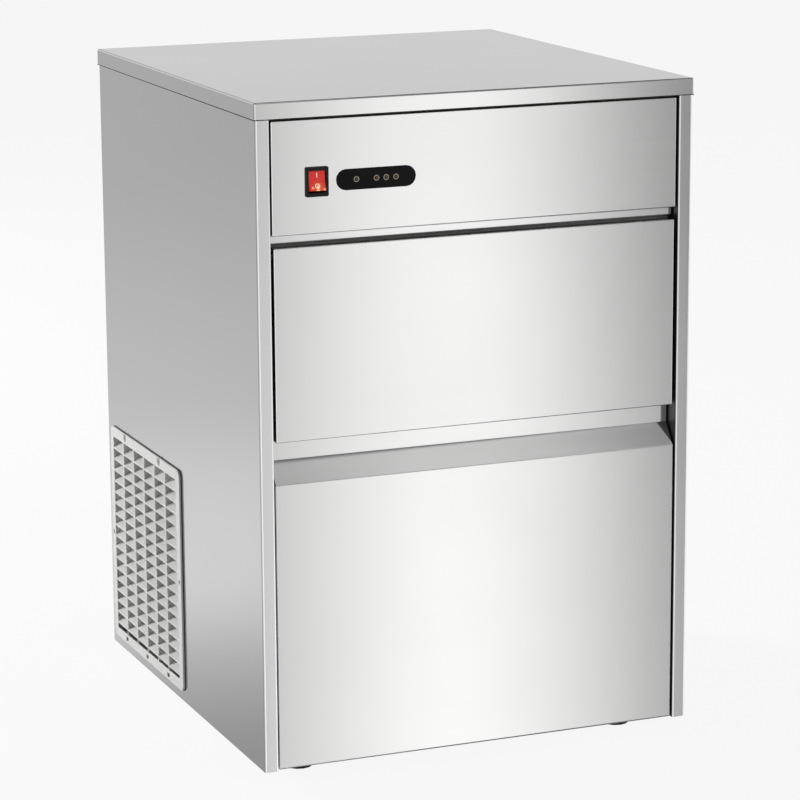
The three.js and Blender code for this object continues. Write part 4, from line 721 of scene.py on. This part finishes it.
# Insulation: cream foam, blown in place round the bin and cut flat as a lid over the ice head.
foam_cream = finish("foam_cream", moulded_skin, (0.76, 0.67, 0.42), 0.92, bump=0.5, depth=0.4, Grain=700.0,
                    Unevenness=0.25)
dressed("bin_insulation", foam_cream, 0.8)
dressed("insulated_ceiling", foam_cream, 0.8)

# Bin liner and mouth frame: white food-safe plastic; the liner is one vacuum formed tub, the
# frame's plate is what the door's gasket closes on.
white_moulding = finish("white_moulding", moulded_skin, (0.80, 0.81, 0.80), 0.34, bump=0.08, Grain=600.0,
                        Unevenness=0.03)
dressed("bin_liner", white_moulding, 0.8)
dressed("bin_mouth_frame", white_moulding, 0.8)

# Ice head: a nickel plated plate with dipping fingers, the copper coil soldered on it, and two
# galvanised hangers that carry it from the ceiling.
nickel = finish("nickel", tarnished, (0.66, 0.63, 0.58), 0.22, metallic=1.0, bump=0.03,
                Tarnish=(0.4, 0.38, 0.34, 1), Amount=0.2)
dressed("evaporator", nickel, 0.6)
coil_height = 684.5
coil_turns = [(-133, 84), (-133, -19), (103, -19), (103, 10), (-103, 10), (-103, 39), (133, 39), (133, 84)]
piped("evaporator_coil", 4, 14.4, [(x, y, coil_height) for x, y in coil_turns], copper)
dressed("left_evaporator_hanger", galvanised, 0.3)
dressed("right_evaporator_hanger", galvanised, 0.3)

# Water tray: a white trough on an axle, turned by a geared motor in the right wall and borne by
# a block in the left one; the level sensor hangs near the top of the bin.
dressed("water_tray", white_moulding, 0.6)
dressed("tray_bearing_block", white_moulding, 0.8)
dressed("tray_motor", black_moulding, 0.8)
dressed("ice_level_sensor", screw_zinc, 0.8)

# Water and waste: moulded inlet valve with its fill tube, drain fitting, rubber waste hose,
# spigot and cable gland through the rear panel.
dressed("water_inlet_valve", white_moulding, 0.8, turned=True)
tube_white = finish("tube_white", moulded_skin, (0.78, 0.80, 0.79), 0.4, Grain=500.0)
fill_route = [
    (190, 205.2, 235), (190, 183.2, 235), (190, 183.2, 279), (190, 251.9, 279), (190, 251.9, 400),
    (155, 251.9, 422), (155, 251.9, 694.2), (155, 10, 694.2), (155, 10, 669.2)]
piped("water_fill_tube", 5, 12, fill_route, tube_white)
dressed("bin_drain", white_moulding, 0.5, turned=True)
piped("drain_hose", 10, 29.9, [(0, 150, 271.7), (0, 150, 60), (60, 150, 60), (60, 245.5, 60)], rubber_black)
dressed("drain_spigot", white_moulding, 0.5, turned=True)
dressed("cable_gland", black_moulding, 0.6)

# Side panels: brushed stainless sheet, each folded into a post at the front and a short flange
# behind; the grain of the sheet stands upright.
brushed, brushed_in, brushed_out = new_group("brushed_sheet", [
    ("Vector", "NodeSocketVector", (0, 0, 0)),
    ("Stretch", "NodeSocketVector", (1, 1, 1)),
    ("Colour", "NodeSocketColor", (0.6, 0.6, 0.6, 1)),
    ("Roughness", "NodeSocketFloat", 0.2),
    ("Strength", "NodeSocketFloat", 0.1),
], surface_outputs)
drawn_out = brushed.nodes.new("ShaderNodeVectorMath")
drawn_out.operation = "MULTIPLY"
link(brushed, brushed_in["Vector"], drawn_out.inputs[0])
link(brushed, brushed_in["Stretch"], drawn_out.inputs[1])
scratches = noise(brushed, drawn_out.outputs[0], 1.0, 3.0)
rolling = noise(brushed, brushed_in["Vector"], 5.0)
sheet_shade = math_node(brushed, "MULTIPLY_ADD", scratches, brushed_in["Strength"], 1.0)
link(brushed, scaled(brushed, brushed_in["Colour"], sheet_shade), brushed_out["Colour"])
sheet_rough = math_node(
    brushed, "MULTIPLY_ADD", math_node(brushed, "ADD", scratches, rolling), brushed_in["Strength"],
    brushed_in["Roughness"])
link(brushed, sheet_rough, brushed_out["Roughness"])
link(brushed, scratches, brushed_out["Height"])


def sheet_steel(name, colour, roughness, stretch, strength=0.08, across=0.0, turn=0.0, folded_round=True):
    """Stainless sheet; across is how much more its grain spreads light across than along itself.
    The grain runs along the machine's width, or follows the sheet round an upright fold."""
    material = finish(
        name, brushed, colour, roughness, metallic=1.0, bump=0.02, depth=0.02, Stretch=stretch, Strength=strength)
    shader = shader_of(material)
    shader.inputs["Anisotropic"].default_value = across
    shader.inputs["Anisotropic Rotation"].default_value = turn
    if across and folded_round:
        tangent = material.node_tree.nodes.new("ShaderNodeTangent")
        tangent.direction_type = "RADIAL"
        tangent.axis = "Z"
        link(material.node_tree, tangent.outputs[0], shader.inputs["Tangent"])
    elif across:
        link(material.node_tree, vector_of(material.node_tree, x=1.0), shader.inputs["Tangent"])
    return material


upright_grain = (450, 450, 3)
grain_to_side = (3, 600, 600)
side_steel = sheet_steel("side_steel", (0.62, 0.625, 0.62), 0.125, upright_grain, strength=0.05, across=0.3)
# The back of the sheet is rougher, as a dull side is, and painted nearly black: painted shade on the faces inside
# the posts' slits.
sheet_back = sheet_steel("sheet_back", (0.12, 0.12, 0.12), 0.5, upright_grain)
dressed("left_side_panel", side_steel, 0.3, back=1)
# The right panel is the same sheet as the left, painted a darker colour as shade.
right_steel = sheet_steel("right_steel", (0.54, 0.545, 0.54), 0.125, upright_grain, strength=0.05, across=0.3)
dressed("right_side_panel", right_steel, 0.3, back=-1)

# Side grille: one moulding in light grey plastic, a flat frame on the panel with seventeen
# climbing slats between five upright bars; screws hold it through dents in the frame.
grille_grey = finish("grille_grey", moulded_skin, (0.70, 0.705, 0.69), 0.45, bump=0.06, Grain=1200.0,
                     Unevenness=0.04)
shader_of(grille_grey).inputs["Specular IOR Level"].default_value = 0.25
slat_tree, slat_in, slat_out = geometry_tree("climbing_slats", [
    ("Slats", "NodeSocketInt"), ("Pitch", "NodeSocketFloat"), ("Depth", "NodeSocketFloat"),
    ("Rise", "NodeSocketFloat"), ("Slope", "NodeSocketFloat"), ("Edge", "NodeSocketFloat"),
    ("Width", "NodeSocketFloat"), ("Bars", "NodeSocketInt"), ("Bar Pitch", "NodeSocketFloat"),
    ("Bar", "NodeSocketVector"),
    ("First Slat", "NodeSocketVector"), ("First Bar", "NodeSocketVector"), ("Material", "NodeSocketMaterial")])
slat_blank = geometry_node(
    slat_tree, "MeshCube", Size=vector_of(slat_tree, slat_in["Depth"], slat_in["Width"], slat_in["Edge"]),
    Vertices_X=9)
position = slat_tree.nodes.new("GeometryNodeInputPosition")
split = slat_tree.nodes.new("ShaderNodeSeparateXYZ")
link(slat_tree, position.outputs[0], split.inputs[0])
inwards = math_node(slat_tree, "ADD", math_node(slat_tree, "DIVIDE", split.outputs["X"], slat_in["Depth"]), 0.5)
depth_so_far = math_node(slat_tree, "MULTIPLY", inwards, slat_in["Depth"])
straight_climb = math_node(slat_tree, "MULTIPLY", depth_so_far, slat_in["Slope"])
climbing = math_node(slat_tree, "MINIMUM", straight_climb, slat_in["Rise"])
slat_form = geometry_node(
    slat_tree, "SetPosition", Geometry=slat_blank.outputs["Mesh"], Offset=vector_of(slat_tree, z=climbing))
slat_row = row_of(
    slat_tree, slat_form.outputs[0], slat_in["Slats"], slat_in["First Slat"],
    vector_of(slat_tree, z=slat_in["Pitch"]))
bar_blank = geometry_node(slat_tree, "MeshCube", Size=slat_in["Bar"])
bar_row = row_of(
    slat_tree, bar_blank.outputs["Mesh"], slat_in["Bars"], slat_in["First Bar"],
    vector_of(slat_tree, y=slat_in["Bar Pitch"]))
all_parts = geometry_node(slat_tree, "JoinGeometry")
for part in (slat_in["Geometry"], slat_row, bar_row):
    link(slat_tree, part, all_parts.inputs[0])
end_with(slat_tree, all_parts.outputs[0], slat_in["Material"], slat_out["Geometry"])


def round_loop(u, v, radius, sides=24):
    return [(u + radius * math.cos(2 * math.pi * i / sides), v + radius * math.sin(2 * math.pi * i / sides))
            for i in range(sides)]


def round_rectangle(u0, u1, v0, v1, radius=0.0):
    if not radius:
        return [(u0, v0), (u1, v0), (u1, v1), (u0, v1)]
    steps = 6
    centres = ((u1 - radius, v0 + radius, -90), (u1 - radius, v1 - radius, 0), (u0 + radius, v1 - radius, 90),
               (u0 + radius, v0 + radius, 180))
    return [
        (u + radius * math.cos(math.radians(start + 90 * i / steps)),
         v + radius * math.sin(math.radians(start + 90 * i / steps)))
        for u, v, start in centres for i in range(steps + 1)]


def plate_mesh(name, loops, thickness, edge, place, material=None):
    """A flat plate from closed outlines in millimetres, the first the rim and the others holes."""
    flat = bpy.data.curves.new(name + "_outline", "CURVE")
    flat.dimensions = "2D"
    flat.fill_mode = "BOTH"
    flat.extrude = (thickness / 2 - edge) * MM
    flat.bevel_depth = edge * MM
    flat.bevel_resolution = 2
    flat.offset = -edge * MM
    for loop in loops:
        run = flat.splines.new("POLY")
        run.points.add(len(loop) - 1)
        run.use_cyclic_u = True
        for point, (u, v) in zip(run.points, loop):
            point.co = (u * MM, v * MM, 0, 1)
    mesh = plain_mesh(added(name + "_outline", flat), name)
    form = bmesh.new()
    form.from_mesh(mesh)
    bmesh.ops.remove_doubles(form, verts=form.verts, dist=1e-6)
    bmesh.ops.transform(form, matrix=place, verts=form.verts)
    bmesh.ops.recalc_face_normals(form, faces=form.faces)
    form.to_mesh(mesh)
    form.free()
    if material:
        paint(mesh, material)
    return mesh


def joined(name, *meshes):
    form = bmesh.new()
    for mesh in meshes:
        form.from_mesh(mesh)
    whole = bpy.data.meshes.new(name)
    form.to_mesh(whole)
    form.free()
    return whole


def on_left(x):
    """The way from flat outlines, u along Y and v along Z, to a plane at x millimetres."""
    return Matrix(((0, 0, 1, x * MM), (1, 0, 0, 0), (0, 1, 0, 0), (0, 0, 0, 1)))


grille_low, grille_high = (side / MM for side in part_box("left_vent_grille"))


def grille_outline(inset, inset_ends, radius):
    return round_rectangle(
        grille_low.y + inset, grille_high.y - inset, grille_low.z + inset_ends, grille_high.z - inset_ends, radius)


flange_inner = grille_low.x + 2.4
grid_front, grid_rear, grid_low, grid_high = 9, 241, 39.5, 273.5
low_pocket = 34.6  # the moulding is hollow under its lowest slat
low_slots = [round_rectangle(y - 3.8, y + 3.8, 31, 35.8) for y in (50, 128, 206)]
screw_places = [(70, 281), (197, 281)]
clip_places = [(2.6, 156), (246.6, 156)]
flange = plate_mesh("grille_flange", [
    grille_outline(0, 0, 9), round_rectangle(grid_front, grid_rear, grid_low, grid_high),
    *[round_loop(*place, 4.7, 16) for place in screw_places],
    *[round_loop(*place, 2.6, 16) for place in clip_places],
    *low_slots], flange_inner - grille_low.x, 0.7, on_left((grille_low.x + flange_inner) / 2))
frame_body = plate_mesh("grille_body", [
    grille_outline(5.3, 5.3, 4), round_rectangle(grid_front, grid_rear, low_pocket, grid_high)],
    grille_high.x - flange_inner, 0.01, on_left((grille_high.x + flange_inner) / 2))
slat_pitch = 13.4
slat_count = 17
lowest_slat = grid_high - slat_count * slat_pitch
bar_count = 5
bar_pitch = (grid_rear - grid_front) / (bar_count + 1)
bar_width = 2.0
bar_depth = grille_high.x - grille_low.x
overlap = 1  # how much longer slats and bars are than the opening
middle_x = (grille_low.x + grille_high.x) / 2
grille = grown(
    "left_vent_grille_made", joined("grille_frame", flange, frame_body), slat_tree, Slats=slat_count,
    Pitch=slat_pitch * MM, Depth=(bar_depth - 0.2) * MM, Rise=7 * MM, Slope=0.78, Edge=1.5 * MM,
    Width=(grid_rear - grid_front + overlap) * MM, Bars=bar_count, Bar_Pitch=bar_pitch * MM,
    Bar=Vector((bar_depth - 0.1, bar_width, grid_high - grid_low + overlap)) * MM,
    First_Slat=Vector((middle_x, (grid_front + grid_rear) / 2, lowest_slat)) * MM,
    First_Bar=Vector((middle_x, grid_front + bar_pitch, (grid_low + grid_high) / 2)) * MM,
    Material=grille_grey)
new_piece("left_vent_grille_made", grille, "cabinet", "left_vent_grille", "left_vent_grille")
screw_grey = finish("screw_grey", moulded_skin, (0.42, 0.42, 0.41), 0.4)
screw_seat = flange_inner - 0.6
screws("grille_screws", [(screw_seat, y, z) for y, z in screw_places], radius=4.6, head=1.8, turn=facing_left,
       material=screw_grey, slot="left_vent_grille", crown=0.92)
screws("grille_clips", [(screw_seat, y, z) for y, z in clip_places], radius=2.2, head=1.8, turn=facing_left,
       material=screw_zinc, slot="left_vent_grille", crown=0.8)
# A black foam strip under the frame is painted shade: it darkens the lines along the frame's front and top edges,
# where the frame's shadow falls.
shade_strip_lap = 0.35  # how far the black strip shows before and behind the frame
shade_strip_lap_above = 0.15
shade_strip_x = -248.8
seal = plate_mesh("grille_seal", [grille_outline(-shade_strip_lap, -shade_strip_lap_above, 9), grille_outline(5, 5, 4)],
                  0.6, 0.05, on_left(shade_strip_x), rubber_black)
new_piece("grille_seal", seal, "cabinet", "left_vent_grille")

# Rear panel: plain stainless sheet with two columns of air slots, screwed to the flanges of the
# side panels.
dressed("rear_panel", side_steel, 0.25)
rear_face = 268.5
screws("rear_screws", [(x, rear_face, z) for x in (-241, 241) for z in range(60, 701, 160)], radius=4, head=2.2,
       turn=facing_rear, material=screw_zinc, slot="rear_panel")

# Control panel: smooth stainless pan behind the posts, with the switch and the display in it.
# The sheet of the front pieces is finer brushed than the sides, along its width.
front_steel = sheet_steel("front_steel", (0.62, 0.62, 0.615), 0.16, grain_to_side, strength=0.04, across=0.75,
                          turn=0.25, folded_round=False)
rear_side = 3
dressed("control_panel", front_steel, 0.4, fold=1.2, open_side=rear_side)

# Mains switch: a black moulded housing clipped into the panel, with a red rocker lit from inside, its glow and
# some painted highlights given as bright spots in its colour; a bar marks its on end and a ring its off end.
dressed("switch_housing", black_moulding, 0.5)
rocker_red = finish("rocker_red", moulded_skin, (0.72, 0.028, 0.02), 0.2, bump=0.02)
rocker_low, rocker_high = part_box("switch_rocker")
rocker_middle = (rocker_low + rocker_high) / 2
red_tree = rocker_red.node_tree
red_shader = shader_of(rocker_red)
red_place = red_tree.nodes.new("ShaderNodeTexCoord").outputs["Object"]
# The wide orange spot and the yellow-white one at the ring are the lamp's glow; the other whitish spots, on the
# left and along the lower edge, are painted highlights.
red_glow_and_highlights = (0.60, 0.016, 0.008, 1)
glow_and_painted_highlights = (  # place from the rocker's lower middle and reach in millimetres, colour; the lamp's glow and painted highlights
    (1, 4.5, 9, (1.0, 0.30, 0.08, 1)), (0.6, 5.2, 2.4, (3.0, 2.4, 1.0, 1)),
    (-5.4, 4.2, 2.2, (2.2, 1.3, 0.6, 1)), (0.5, 1.2, 2.8, (2.6, 1.9, 1.0, 1)),
    (7.5, 1.6, 2.6, (2.2, 1.2, 0.8, 1)))
for x, z, reach, spot_colour in glow_and_painted_highlights:
    spot = red_tree.nodes.new("ShaderNodeVectorMath")
    spot.operation = "DISTANCE"
    link(red_tree, red_place, spot.inputs[0])
    spot.inputs[1].default_value = (rocker_middle.x + x * MM, rocker_low.y + 0.5 * MM, rocker_low.z + z * MM)
    spot_share = level_ramp(red_tree, math_node(red_tree, "DIVIDE", spot.outputs["Value"], reach * MM), [
        (0.0, 1.0), (0.35, 0.6), (0.7, 0.14), (1.0, 0.0)])
    red_glow_and_highlights = mix_colour(red_tree, spot_share, red_glow_and_highlights, spot_colour)
link(red_tree, red_glow_and_highlights, red_shader.inputs["Emission Color"])
red_shader.inputs["Emission Strength"].default_value = 0.45
dressed("switch_rocker", rocker_red, 0.6)

rocker_form = merged_copy("switch_rocker")
rocker_faces = sorted(
    ((face.center.copy(), face.normal.copy()) for face in rocker_form.polygons if face.normal.y < -0.8),
    key=lambda face: face[0].z)
mark_white = finish("mark_white", moulded_skin, (0.85, 0.84, 0.80), 0.4, bump=0.02)
shader_of(mark_white).inputs["Emission Color"].default_value = (1, 0.9, 0.75, 1)
shader_of(mark_white).inputs["Emission Strength"].default_value = 0.5


def on_face(centre, normal, lift=0.0):
    """The way from flat outlines, u to the right and v up, onto a face that looks to the front."""
    out = Vector(normal).normalized()
    right = Vector((1, 0, 0))
    up = out.cross(right)
    at = Vector(centre) + out * lift * MM
    return Matrix((
        (right.x, up.x, out.x, at.x), (right.y, up.y, out.y, at.y), (right.z, up.z, out.z, at.z), (0, 0, 0, 1)))


on_mark = plate_mesh(
    "on_mark", [round_rectangle(-0.35, 0.35, -1.6, 3.2, 0.3)], 0.3, 0.05, on_face(*rocker_faces[-1], 0.1),
    mark_white)
off_mark = plate_mesh(
    "off_mark", [round_loop(0, -0.3, 2.6), round_loop(0, -0.3, 1.95)], 0.3, 0.05, on_face(*rocker_faces[0], 0.1),
    mark_white)
new_piece("on_mark", on_mark, "rocker", "switch_rocker")
new_piece("off_mark", off_mark, "rocker", "switch_rocker")

# Display: a long black lens bonded to the panel; four lamps shine through ringed spots on it,
# from a circuit board that stands behind the panel on spacers.
lens_black = finish("lens_black", moulded_skin, (0.006, 0.006, 0.007), 0.16, bump=0.02)
shader_of(lens_black).inputs["Specular IOR Level"].default_value = 0.08
lens_low, lens_high = (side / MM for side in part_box("display_window"))
dressed("display_window", lens_black, 0.2)
ring_gold = finish("ring_gold", tarnished, (0.52, 0.46, 0.33), 0.4, bump=0.03, Tarnish=(0.3, 0.26, 0.2, 1))
lamp_glass = {
    "lamp_grey": (0.15, 0.17, 0.12), "lamp_red": (0.34, 0.09, 0.04), "lamp_green": (0.16, 0.20, 0.07),
    "lamp_brown": (0.24, 0.15, 0.09)}
lens_middle = (lens_low + lens_high) / 2
to_front = (0, -1, 0)
film = 0.24  # thickness of the rings and dots
for place, (lamp, colour) in zip((-22.2, 0, 10.9, 21.8), lamp_glass.items()):
    spot = Vector((lens_middle.x + place, lens_low.y, lens_middle.z)) * MM
    ring = plate_mesh(lamp + "_ring", [round_loop(0, 0, radius) for radius in (3.1, 2.0)], film, 0.06,
                      on_face(spot, to_front, 0.02), ring_gold)
    new_piece(lamp + "_ring", ring, "cabinet", "display_window")
    glass = finish(lamp, moulded_skin, colour, 0.2, bump=0.02)
    dot = plate_mesh(lamp, [round_loop(0, 0, 0.9, 16)], film, 0.08, on_face(spot, to_front, 0.04), glass)
    new_piece(lamp, dot, "cabinet", "display_window")
board_green = finish("board_green", moulded_skin, (0.02, 0.13, 0.06), 0.35, bump=0.1, Grain=250.0, Unevenness=0.4)
dressed("display_board", board_green, 0.2)

# Rail: a channel folded from the same stainless sheet, fixed between the posts. It closes the gap
# between the control panel and the door.
dressed("cross_rail", front_steel, 0.3)

# Lower panel: stainless sheet that fills the front under the door; its top folds back into a
# slanted face and an upright strip, which make the finger recess.
dressed("lower_front_panel", front_steel, 0.4, corner=30)

# Door: a shallow stainless pan over a white insulated inner door with a rubber gasket, hung on
# a headed pin at each end.
dressed("door_skin", front_steel, 0.4, fold=1.2, open_side=rear_side)
dressed("door_core", white_moulding, 1.0)
dressed("door_gasket", rubber_black, 0.8)
dressed("left_hinge_pin", pot_paint, 0.4)
dressed("right_hinge_pin", pot_paint, 0.4)

# Top cover: a lid of stainless sheet, folded down on its four sides and clipped over the
# cabinet; its grain runs from side to side.
top_steel = sheet_steel("top_steel", (0.62, 0.62, 0.615), 0.11, grain_to_side, strength=0.04)
under_side = 4
dressed("top_cover", top_steel, 0.3, fold=1.6, open_side=under_side)
cover_low, cover_high = (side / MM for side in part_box("top_cover"))
# A black strip under the cover's lower edge is painted shade: it darkens the line where the cover meets the posts
# and the panels below it.
shade_strip_height = 0.9
shade_strip_depth = 1.3
cover_seal = plate_mesh("cover_seal", [
    round_rectangle(cover_low.x + inset, cover_high.x - inset, cover_low.y + inset, cover_high.y - inset)
    for inset in (0.1, shade_strip_depth)], shade_strip_height, 0.05,
    Matrix.Translation((0, 0, (cover_low.z - shade_strip_height / 2) * MM)), rubber_black)
new_piece("cover_seal", cover_seal, "cabinet", "top_cover")
